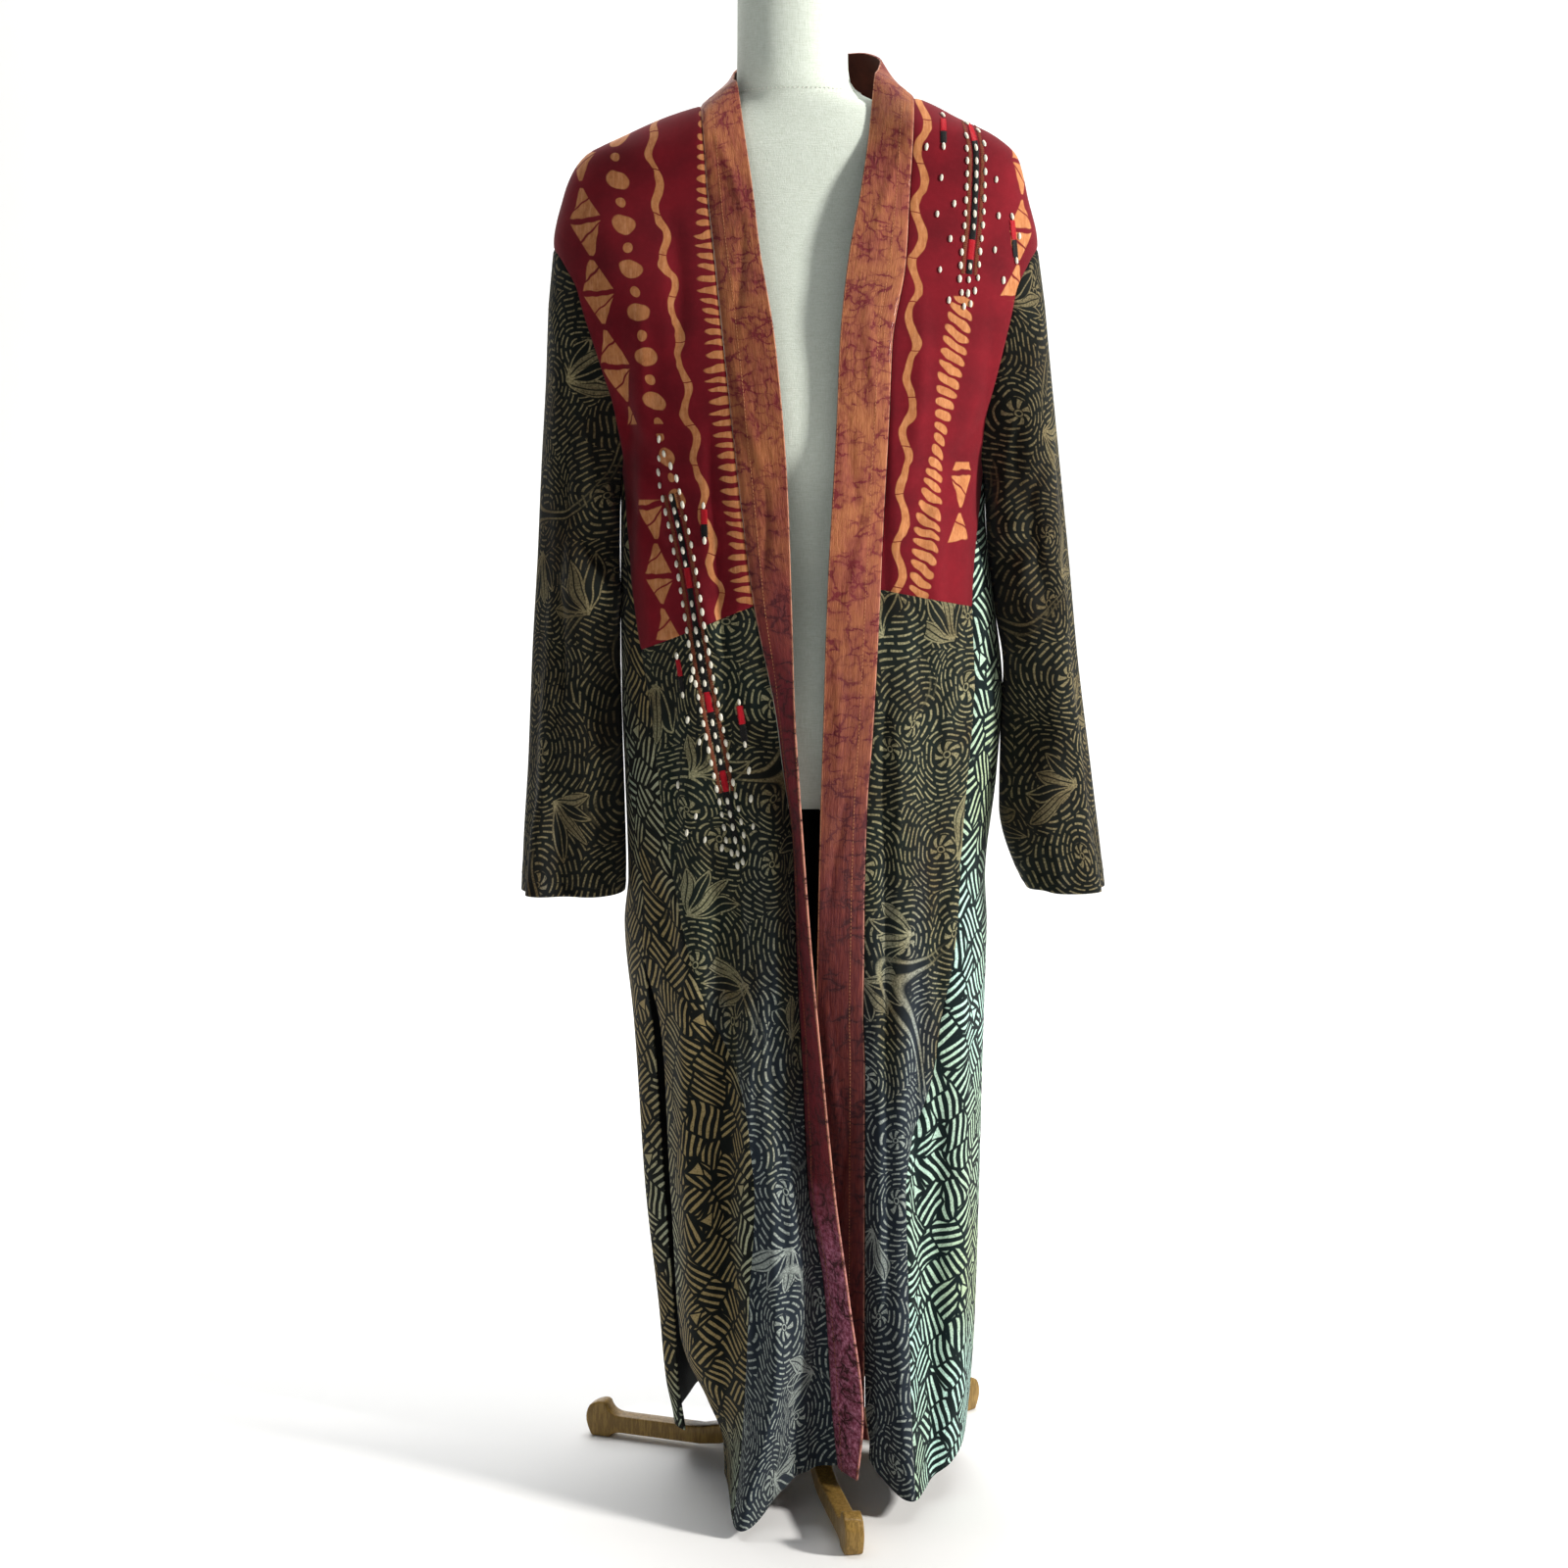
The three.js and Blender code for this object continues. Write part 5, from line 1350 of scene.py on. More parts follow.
@dataclass(frozen=True)
class LeafPrint:
    """Dark green cotton block-printed with flowing dashes, pinwheels and leaf sprays."""

    name: str
    slot: str = "leaf_print"
    ground: tuple = paint(22, 31, 27)
    shade: tuple = paint(19, 17, 13)
    line: tuple = paint(172, 168, 130)
    dull: tuple = paint(122, 106, 72)
    # Pale blue-grey ground and line colours of the painted sheen near the hem.
    painted_sheen_ground: tuple = paint(34, 42, 52)
    painted_sheen_line: tuple = paint(172, 184, 180)
    shift: float = 0.0
    ring: float = 5.6
    dash: float = 15.0
    bloom: float = 84.0
    spray: float = 128.0

    def whorl(self, graph: Graph, x: Sock, y: Sock) -> Sock:
        """Rings of dashes round scattered middles, with a pinwheel on each middle."""
        cell = graph.cells(x, y, self.bloom, 0.85)
        theta = cell.y.arctan(cell.x)
        radius = cell.radius + theta * (self.ring / (2 * math.pi))
        step = (radius / self.ring).floor()
        count = ((step + 0.5) * (2 * math.pi * self.ring / self.dash)).rounded().most(3.0)
        seed = step + cell.chance[0] * 57.0
        chance = graph.out("ShaderNodeTexWhiteNoise", {"noise_dimensions": "1D"}, {"W": seed})
        turn = ((theta / (2 * math.pi)) * count + chance).fraction()
        thin = abs(radius.centred(self.ring)).below(0.82, 0.28)
        dashes = thin * abs(turn - 0.5).below(0.37, 0.03) * (1 - cell.radius.below(13.0, 0.4))
        petal = (theta * 7.0 + cell.radius * 0.36).sine()
        petals = (petal * -1.0).below(-0.1, 0.12) * cell.radius.between(4.4, 11.6, 0.4)
        hub = abs(cell.radius - 2.8).below(0.65, 0.3)
        return dashes.most(petals).most(hub)

    def sprays(self, graph: Graph, x: Sock, y: Sock) -> tuple[Sock, Sock]:
        """Fans of long leaves with outlines and midribs, and the ground that they clear."""
        cell = graph.cells(x + 31.0, y + 17.0, self.spray, 0.8)
        lean = cell.chance[1] * 6.28
        theta = (cell.y.arctan(cell.x) + lean) % (2 * math.pi)
        sector = 0.46
        local = ((theta / sector).fraction() - 0.5) * sector
        off = abs(local.sine() * cell.radius)
        blade = (theta / sector).floor()
        length = 40.0 + theta * 13.0
        width = ((cell.radius / length).least(1.0) ** 1.5 * math.pi).sine() * 7.6
        inside = theta.below(sector * 4, 0.02) * cell.radius.below(length, 0.5)
        outline = abs(off - width).below(0.85, 0.3) * inside
        midrib = off.below(0.65, 0.3) * inside
        odd = (blade + (cell.chance[2] * 3.0).floor()) % 2.0
        filled = odd * off.below(width * 0.72, 0.4) * (1 - off.below(0.7, 0.3)) * inside
        return outline.most(midrib * (1 - odd)).most(filled * 0.8), off.below(width + 2.4, 0.4) * inside

    def face(self) -> bpy.types.Material:
        """The cloth's outer face."""
        graph = Graph(self.name)
        u, v = graph.cloth()
        u = u + self.shift
        place = graph.place(u, v)
        warp = {"Vector": place, "Scale": 1 / 55, "Detail": 1.0}
        bend = graph.parts(graph.out("ShaderNodeTexNoise", {"noise_dimensions": "3D"}, warp, "Color"))
        x, y = u + (bend[0] - 0.5) * 26.0, v + (bend[1] - 0.5) * 26.0
        whorl = self.whorl(graph, x, y)
        spray, cleared = self.sprays(graph, x, y)
        stem = abs(graph.noise(graph.place(u + 400.0, v, 47.0), 120.0, 0.0) - 0.5)
        grown = ((graph.noise(graph.place(u, v, 11.0), 90.0, 1.0) - 0.5) * 9.0).held()
        stems = abs(stem - 0.014).below(0.0045, 0.0018) * grown
        near = stem.below(0.025, 0.003) * grown
        mask = (whorl * (1 - cleared) * (1 - near)).most(spray).most(stems)
        mottle = graph.noise(place, 90.0, 3.0, 0.6)
        fine = graph.noise(place, 2.2, 3.0, 0.7)
        ground = graph.mix((mottle - 0.4) * 3.0, self.ground, self.shade)
        line = graph.mix((mottle - 0.38) * 3.0, self.line, self.dull)
        # Painted sheen: below 700 mm, in long vertical streaks, the ground and lines turn pale blue-grey, as
        # on lit folds near the hem.
        painted_sheen_streaks = graph.noise(graph.place(u, v * 0.16, 5.0), 34.0, 2.0) - 0.5
        painted_sheen = ((600.0 - v) / 360.0 + painted_sheen_streaks * 3.4).held() * ((700.0 - v) / 200.0)
        painted_sheen = painted_sheen.held() * 0.85
        ground, line = graph.mix(painted_sheen, ground, self.painted_sheen_ground), graph.mix(painted_sheen, line, self.painted_sheen_line)
        worn = mask * ((fine - 0.25) * 2.6).held()
        colour = graph.mix(worn, ground, line)
        height = graph.weave(u, v, 0.6) * 0.5 + fine * 0.6
        return graph.shader(colour, 0.86, height, 0.00022, 0.04)

    def reverse(self) -> bpy.types.Material:
        """The cloth's inner face."""
        return plain_cloth(self.name + "_reverse", paint(34, 38, 38), paint(22, 24, 26))


@dataclass(frozen=True)
class StripePrint:
    """Dark teal cotton printed with bundles of stripes that change direction."""

    name: str
    ground: tuple
    # line and other: the two line colours, a duller khaki-green and a pale mint, that the painted light and
    # shade patches switch between.
    line: tuple
    other: tuple
    slot: str = "stripe_print"
    block: float = 27.5
    pitch: float = 6.7
    share: float = 0.42
    stroke: float = 1.32

    def face(self) -> bpy.types.Material:
        """The cloth's outer face."""
        graph = Graph(self.name)
        u, v = graph.cloth()
        place = graph.place(u, v)
        bend = graph.noise(place, 46.0, 1.0) - 0.5
        x = u * 0.83 + v * 0.56 + bend * 11.0
        y = v * 0.83 - u * 0.56 - bend * 9.0
        cell = graph.cells(x, y, self.block, 0.62, True)
        quarter = (cell.chance[0] * 2.0).floor() * (math.pi / 2)
        turn = quarter + (cell.chance[1] - 0.5) * 0.9
        cos, sin = turn.cosine(), turn.sine()
        across = cell.x * cos + cell.y * sin
        along = cell.y * cos - cell.x * sin
        width = self.stroke + (graph.noise(place, 11.0, 1.0) - 0.5) * 1.2
        stripes = abs((across + bend * 3.0).centred(self.pitch)).below(width, 0.28)
        inside = 1 - cell.edge.below(1.25, 0.35)
        chosen = cell.chance[2].below(0.12, 0.01)
        wedge = (abs(across) - (5.6 - along) * 0.6).below(0.0, 0.3) * abs(along).below(5.4, 0.3)
        cleared = (abs(across) - (8.4 - along) * 0.7).below(0.0, 0.3) * chosen * cell.radius.below(12.0, 0.5)
        mask = (stripes * inside * (1 - cleared)).most(wedge * chosen)
        fine = graph.noise(place, 2.0, 3.0, 0.7)
        worn = mask * ((fine - 0.2) * 3.0).held()
        mottle = graph.noise(place, 70.0, 3.0)
        # Painted light and shade: in large random patches the stripes turn from one line colour to the other,
        # pale mint standing for lit stripes and khaki for shaded ones.
        painted_light_patch = (graph.noise(graph.place(u + 900.0, v * 0.6), 170.0, 1.0) - self.share) * 5.0
        line = graph.mix(painted_light_patch, self.line, self.other)
        ground = graph.mix((mottle - 0.3) * 1.2, self.ground, paint(14, 19, 17))
        height = graph.weave(u, v, 0.6) * 0.5 + fine * 0.6
        return graph.shader(graph.mix(worn, ground, line), 0.84, height, 0.00022, 0.04)

    def reverse(self) -> bpy.types.Material:
        """The cloth's inner face."""
        return plain_cloth(self.name + "_reverse", paint(32, 36, 38), paint(20, 22, 25))


@dataclass(frozen=True)
class CopperCrackle:
    """Copper cotton sateen, crackled and darker towards the hem."""

    name: str
    fade_top: float
    fade_end: float
    low: tuple
    slot: str = "copper_band"
    low_light: tuple = paint(150, 66, 48)
    # foot: bright pink of the painted sheen at the band's foot.
    foot: tuple = paint(228, 146, 174)
    foot_top: float = -200.0
    base: tuple = paint(146, 78, 42)
    light: tuple = paint(188, 120, 70)
    crack: tuple = paint(106, 20, 26)
    crack_low: tuple = paint(58, 10, 18)
    nets: tuple = ((0.42, 1.6, 9.0, 26.0, 0.9), (0.7, 1.25, 57.0, 12.0, 0.4), (1.3, 0.6, 23.0, 22.0, 0.6))
    back: tuple = paint(84, 38, 26)

    def face(self) -> bpy.types.Material:
        """The cloth's outer face."""
        graph = Graph(self.name)
        u, v = graph.cloth()
        place = graph.place(u, v)
        edge = graph.seam_gap()
        blot = ((graph.noise(graph.place(u, v * 0.8, 21.0), 40.0, 3.0, 0.6) - 0.46) * 5.5).held()
        warp = {"Vector": place, "Scale": 1 / 11, "Detail": 4.0, "Roughness": 0.6}
        bend = graph.parts(graph.out("ShaderNodeTexNoise", {"noise_dimensions": "3D"}, warp, "Color"))
        x, y = u + (bend[0] - 0.5) * 17.0, v + (bend[1] - 0.5) * 17.0
        cracks = blot * 0.0
        for wide, tall, shift, size, most in self.nets:
            net = graph.cells(x * wide + shift, y * tall, size, 1.0)
            some = ((graph.noise(graph.place(u, v, shift), 24.0, 2.0) - 0.465) * 8.0).held()
            lines = (net.edge.below(1.0, 0.5) + net.edge.below(4.2, 3.6) * 0.5) * some
            cracks = cracks.most(lines * (blot * (1 - most) + most))
        streak = graph.noise(graph.place(u * 6.0, v * 0.35), 8.0, 3.0, 0.6)
        base = graph.mix((streak - 0.35) * 1.8, self.base, self.light)
        base = graph.mix(blot * 0.62, base, paint(122, 38, 38))
        wander = (graph.noise(graph.place(u + 70.0, v), 30.0, 2.0) - 0.5) * 0.5
        fade = ((self.fade_top - v) / (self.fade_top - self.fade_end) + wander).held()
        base = graph.mix(fade, base, graph.mix((streak - 0.42) * 2.0, self.low, self.low_light))
        # Near the hem of the right band the cloth turns dark purple, its own colour, flecked with bright
        # pink: the pink flecks are a painted sheen on the pile.
        foot = ((self.foot_top - v) / 90.0 + wander).held()
        painted_sheen_flecks = graph.noise(place, 5.0, 4.0, 0.75)
        base = graph.mix(foot, base, graph.mix((painted_sheen_flecks - 0.42) * 4.0, paint(118, 34, 62), self.foot))
        # Painted highlight: a thin pale line along both edges of the band, where its folded edges catch the
        # light.
        base = graph.mix(edge.below(0.9, 0.5) * 0.6, base, paint(222, 158, 132))
        colour = graph.mix(cracks, base, graph.mix(fade, self.crack, self.crack_low))
        crumple = graph.noise(graph.place(u * 1.6, v * 0.55, 3.0), 9.0, 3.0, 0.6)
        height = graph.weave(u, v, 0.5) * 0.1 + streak * 0.3 + crumple - cracks * 0.1
        return graph.shader(colour, 0.56 + cracks * 0.1, height, 0.0016, 0.04, 0.03, 0.0, 0.3)

    def reverse(self) -> bpy.types.Material:
        """The cloth's inner face."""
        return plain_cloth(self.name + "_reverse", self.back, paint(58, 24, 18), 0.7)


@dataclass(frozen=True)
class Thread:
    """Sewing or embroidery thread, or a small bead, in one colour."""

    name: str
    colour: tuple
    roughness: float = 0.6
    coat: float = 0.0

    def material(self) -> bpy.types.Material:
        """The thread's material."""
        graph = Graph(self.name)
        place = graph.solid_place()
        lump = graph.noise(place, 0.0015, 2.0)
        dark = tuple(c * 0.72 for c in self.colour[:3]) + (1.0,)
        return graph.shader(graph.mix(lump, dark, self.colour), self.roughness, lump, 0.0001, 0.1, self.coat)


@dataclass(frozen=True)
class Linen:
    """Off-white linen stretched over the padded form."""

    name: str = "form_linen_cloth"
    slot: str = "form_linen"
    light: tuple = paint(236, 244, 234)
    dark: tuple = paint(213, 223, 208)

    def material(self) -> bpy.types.Material:
        """The linen's material."""
        graph = Graph(self.name)
        x, y, z = graph.parts(graph.solid_place())
        weft = graph.noise(graph.place(x * 120.0, y * 120.0, z * 1400.0), 1.0, 3.0, 0.6)
        warp = graph.noise(graph.place(x * 1400.0, y * 1400.0, z * 110.0), 1.0, 3.0, 0.6)
        slub = (weft + warp) * 0.5
        speck = graph.noise(graph.place(x, y, z), 0.004, 4.0, 0.7)
        colour = graph.mix((slub - 0.36) * 3.4, self.dark, self.light)
        colour = graph.mix((speck - 0.56) * 1.6, colour, paint(190, 194, 172))
        return graph.shader(colour, 0.88, slub + speck * 0.3, 0.0006, 0.1)


@dataclass(frozen=True)
class Wood:
    """Varnished golden-brown wood."""

    name: str = "stand_wood_varnish"
    slot: str = "stand_wood"
    light: tuple = paint(158, 126, 66)
    dark: tuple = paint(102, 78, 36)

    def material(self) -> bpy.types.Material:
        """The wood's material."""
        graph = Graph(self.name)
        x, y, z = graph.parts(graph.solid_place())
        grain = graph.noise(graph.place(x * 240.0, y * 240.0, z * 34.0), 1.0, 5.0, 0.62)
        band = ((grain * 26.0).sine() * 0.5 + 0.5) * 0.45 + grain * 0.55
        colour = graph.mix(band, self.light, self.dark)
        return graph.shader(colour, 0.36 + band * 0.14, band, 0.00012, 0.0, 0.25)


@dataclass(frozen=True)
class BlackPaint:
    """Satin black paint on the form's pole."""

    name: str = "pole_black_paint"
    slot: str = "pole_black"

    def material(self) -> bpy.types.Material:
        """The paint's material."""
        graph = Graph(self.name)
        place = graph.solid_place()
        speck = graph.noise(place, 0.002, 3.0)
        colour = graph.mix(speck, paint(16, 16, 17), paint(30, 29, 28))
        return graph.shader(colour, 0.34 + speck * 0.1, speck, 0.00005, 0.0, 0.1)


class StitchTree:
    """Geometry nodes that lay a small rounded thread or bead along a path or at points.

    Each guide point carries two directions: "facing", out of the cloth, and "heading",
    which the thread or bead lies along.
    """

    SIZES = (("Pitch", 0.003), ("Length", 0.002), ("Width", 0.0006), ("Height", 0.0005), ("Scatter", 0.1))

    def __init__(self, name: str, along_path: bool, grain_of: tuple[int, int]) -> None:
        """Builds the tree.

        Args:
            name: The tree's name.
            along_path: True to space the stitches along the guide's edges, False to put
                one at each of its points.
            grain_of: Segments and rings of one bead or stitch.
        """
        self.tree = bpy.data.node_groups.new(name, "GeometryNodeTree")
        face = self.tree.interface
        face.new_socket(name="Guide", in_out="INPUT", socket_type="NodeSocketGeometry")
        self.sockets: dict[str, str] = {}
        for label, value in self.SIZES:
            socket = face.new_socket(name=label, in_out="INPUT", socket_type="NodeSocketFloat")
            socket.default_value = value
            self.sockets[label] = socket.identifier
        for label, kind in (("Seed", "NodeSocketInt"), ("Material", "NodeSocketMaterial")):
            self.sockets[label] = face.new_socket(name=label, in_out="INPUT", socket_type=kind).identifier
        face.new_socket(name="Stitches", in_out="OUTPUT", socket_type="NodeSocketGeometry")
        given = self.add("NodeGroupInput")
        if along_path:
            curve = self.add("GeometryNodeMeshToCurve", None, {"Mesh": given.outputs["Guide"]})
            spaced = {"Curve": curve.outputs[0], "Length": given.outputs["Pitch"]}
            even = self.add("GeometryNodeResampleCurve", {"mode": "LENGTH"}, spaced)
            points = self.add("GeometryNodeCurveToPoints", {"mode": "EVALUATED"}, {"Curve": even.outputs[0]})
        else:
            points = self.add("GeometryNodeMeshToPoints", None, {"Mesh": given.outputs["Guide"]})
        facing, heading = (
            self.add("GeometryNodeInputNamedAttribute", {"data_type": "FLOAT_VECTOR"}, {"Name": name})
            for name in ("facing", "heading")
        )
        stand = self.add("FunctionNodeAlignRotationToVector", {"axis": "Z"}, {"Vector": facing.outputs[0]})
        about = {"Rotation": stand.outputs[0], "Vector": heading.outputs[0]}
        turned = self.add("FunctionNodeAlignRotationToVector", {"axis": "X", "pivot_axis": "Z"}, about)
        sides = {at: given.outputs[label] for at, label in enumerate(("Length", "Width", "Height"))}
        size = self.add("ShaderNodeCombineXYZ", None, sides)
        ball = {"Segments": grain_of[0], "Rings": grain_of[1], "Radius": 0.5}
        grain = self.add("GeometryNodeMeshUVSphere", None, ball)
        scaled = {"Geometry": grain.outputs[0], "Scale": size.outputs[0]}
        shaped = self.add("GeometryNodeTransform", None, scaled)
        least = self.add("ShaderNodeMath", {"operation": "SUBTRACT"}, {0: 1.0, 1: given.outputs["Scatter"]})
        most = self.add("ShaderNodeMath", {"operation": "ADD"}, {0: 1.0, 1: given.outputs["Scatter"]})
        limits = {2: least.outputs[0], 3: most.outputs[0], "Seed": given.outputs["Seed"]}
        vary = self.add("FunctionNodeRandomValue", {"data_type": "FLOAT"}, limits)
        placed = {"Points": points.outputs[0], "Instance": shaped.outputs[0]}
        placed |= {"Rotation": turned.outputs[0], "Scale": vary.outputs[1]}
        laid = self.add("GeometryNodeInstanceOnPoints", None, placed)
        real = self.add("GeometryNodeRealizeInstances", None, {0: laid.outputs[0]})
        smooth = self.add("GeometryNodeSetShadeSmooth", None, {0: real.outputs[0]})
        dressing = {"Geometry": smooth.outputs[0], "Material": given.outputs["Material"]}
        dressed = self.add("GeometryNodeSetMaterial", None, dressing)
        self.add("NodeGroupOutput", None, {0: dressed.outputs[0]})

    def add(self, kind: str, settings: dict | None = None, inputs: dict | None = None) -> bpy.types.Node:
        """Adds one node, as new_node does."""
        return new_node(self.tree, kind, settings, inputs)

    def lay(
        self, name: str, guide: "Guide", sizes: dict[str, float], thread: Thread, seed: int
    ) -> bpy.types.Object:
        """Makes the stitches of one guide as a plain mesh.

        Args:
            name: The piece's name.
            guide: The path or points, with their directions.
            sizes: The tree's sizes, in metres.
            thread: The thread's or bead's finish.
            seed: Seed of the small differences in size.

        Returns:
            The piece.
        """
        carrier = guide.carrier(name + "_guide")
        modifier = carrier.modifiers.new("stitches", "NODES")
        modifier.node_group = self.tree
        for label, value in sizes.items():
            modifier[self.sockets[label]] = value
        modifier[self.sockets["Seed"]] = seed
        modifier[self.sockets["Material"]] = thread.material()
        bpy.context.view_layer.update()
        graph = bpy.context.evaluated_depsgraph_get()
        mesh = bpy.data.meshes.new_from_object(carrier.evaluated_get(graph), depsgraph=graph)
        mesh.name = name
        bpy.data.objects.remove(carrier)
        piece = linked(name, mesh)
        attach(piece, "root")
        return piece


@dataclass
class Guide:
    """Points that stitches or beads are laid on, with their directions."""

    points: list[Array] = field(default_factory=list)
    facings: list[Array] = field(default_factory=list)
    headings: list[Array] = field(default_factory=list)
    joined: bool = True

    def add(self, points: Array, facings: Array, headings: Array | None = None) -> None:
        """Adds one run of points.

        Args:
            points: Places in millimetres.
            facings: Directions out of the cloth.
            headings: Directions that the stitches lie along, the run's own by default.
        """
        self.points.append(points)
        self.facings.append(facings)
        self.headings.append(unit(np.gradient(points, axis=0)) if headings is None else headings)

    def carrier(self, name: str) -> bpy.types.Object:
        """An object whose mesh holds the guide's points, edges and directions."""
        points = np.concatenate(self.points)
        edges, start = [], 0
        for run in self.points:
            if self.joined:
                edges += [(start + k, start + k + 1) for k in range(len(run) - 1)]
            start += len(run)
        mesh = bpy.data.meshes.new(name)
        mesh.from_pydata(((points + FRAME_SHIFT) * MM).tolist(), edges, [])
        for label, runs in (("facing", self.facings), ("heading", self.headings)):
            attribute = mesh.attributes.new(label, "FLOAT_VECTOR", "POINT")
            attribute.data.foreach_set("vector", np.concatenate(runs).astype(np.float32).ravel())
        return linked(name, mesh)


WHITE_BEAD = Thread("bead_white", paint(238, 234, 216), 0.3, 0.4)
BLACK_SATIN = Thread("satin_black", paint(18, 17, 18), 0.42)
RED_SATIN = Thread("satin_red", paint(186, 14, 34), 0.42)
RUST_THREAD = Thread("stitch_rust", paint(122, 62, 38), 0.7)
COPPER_THREAD = Thread("thread_copper", paint(206, 140, 92), 0.6)
DARK_THREAD = Thread("thread_dark", paint(30, 34, 30), 0.7)
LINEN_THREAD = Thread("thread_linen", paint(236, 236, 226), 0.7)


@dataclass
class BeadStrip:
    """A long embroidered strip: black satin between rust threads and three lines of beads.

    Attributes:
        side: The front that it is sewn on.
        path: X and Z of its middle line, from the top.
        red: Distances along the path at which red blocks start.
        satin: First and last distance that the satin covers.
        rust: Distance at which the rust threads end.
        spread: Distance of the outer beads from the middle.
        pitch: Distance from bead to bead.
    """

    side: Side
    path: tuple[tuple[float, float], ...]
    red: tuple[float, ...]
    satin: tuple[float, float]
    rust: float
    spread: float = 8.6
    pitch: float = 12.4
    block: float = 19.0

    def along(
        self, distances: Array, aside: Array | float = 0.0, lift: float = 0.9
    ) -> tuple[Array, Array, Array]:
        """Points, facings and headings at distances along the strip.

        Args:
            distances: Distances from the strip's top, in millimetres.
            aside: How far to the side of the middle line.
            lift: How far out of the middle of the cloth.

        Returns:
            The points, the directions out of the cloth and those along the strip.
        """
        knots = np.array(self.path, float)
        reach = np.concatenate([[0.0], np.cumsum(np.linalg.norm(np.diff(knots, axis=0), axis=1))])
        x, z = Curve(reach, knots[:, 0]), Curve(reach, knots[:, 1])
        run = unit(np.stack([x(distances + 2) - x(distances - 2), z(distances + 2) - z(distances - 2)], -1))
        place = np.stack([x(distances) - run[:, 1] * aside, z(distances) + run[:, 0] * aside], -1)
        point, facing = SURFACE.at(self.side, place[:, 0], place[:, 1])
        ahead = np.stack([run[:, 0], 0 * run[:, 0], run[:, 1]], -1)
        heading = unit(ahead - facing * np.sum(ahead * facing, -1, keepdims=True))
        return point + facing * lift, facing, heading

    def length(self) -> float:
        """Length of the strip's middle line."""
        return float(np.linalg.norm(np.diff(np.array(self.path), axis=0), axis=1).sum())

    def beads(self, guide: Guide) -> None:
        """Adds the strip's beads: an inner line between two outer ones, closed at the ends."""
        total = self.length()
        inner = np.arange(self.satin[0] + 3, min(self.satin[1] + 26, total - 14), self.pitch)
        outer = np.arange(4.0, total - 4, self.pitch)
        close = lambda d: np.minimum(1.0, np.minimum((d + 4) / 30, (total - d + 2) / 34)) * self.spread
        keep = np.ones(inner.shape, bool)
        for start in self.red:
            keep &= (inner < start - 2) | (inner > start + self.block + 2)
        guide.add(*self.along(inner[keep], 0.0, 1.8))
        guide.add(*self.along(outer, close(outer), 1.5))
        guide.add(*self.along(outer + 3.0, -close(outer + 3.0), 1.5))

    def satin_threads(self, black: Guide, red: Guide, rust: Guide) -> None:
        """Adds the cross-laid threads of the middle bar and the rust bars beside it."""
        places = np.arange(self.satin[0], self.satin[1], 0.9)
        is_red = np.zeros(places.shape, bool)
        for start in self.red:
            is_red |= (places >= start) & (places <= start + self.block)
        point, facing, heading = self.along(places, 0.0, 0.75)
        across = np.cross(facing, heading)
        black.add(point[~is_red], facing[~is_red], across[~is_red])
        if is_red.any():
            red.add(point[is_red], facing[is_red], across[is_red])
        for aside in (6.0, -6.0):
            point, facing, heading = self.along(places[places < self.rust][::2], aside, 0.7)
            rust.add(point, facing, np.cross(facing, heading))


@dataclass(frozen=True)
class BarStitch:
    """A short bar on its own: a bead, red satin, black satin and a bead."""

    side: Side
    top: tuple[float, float]
    end: tuple[float, float]


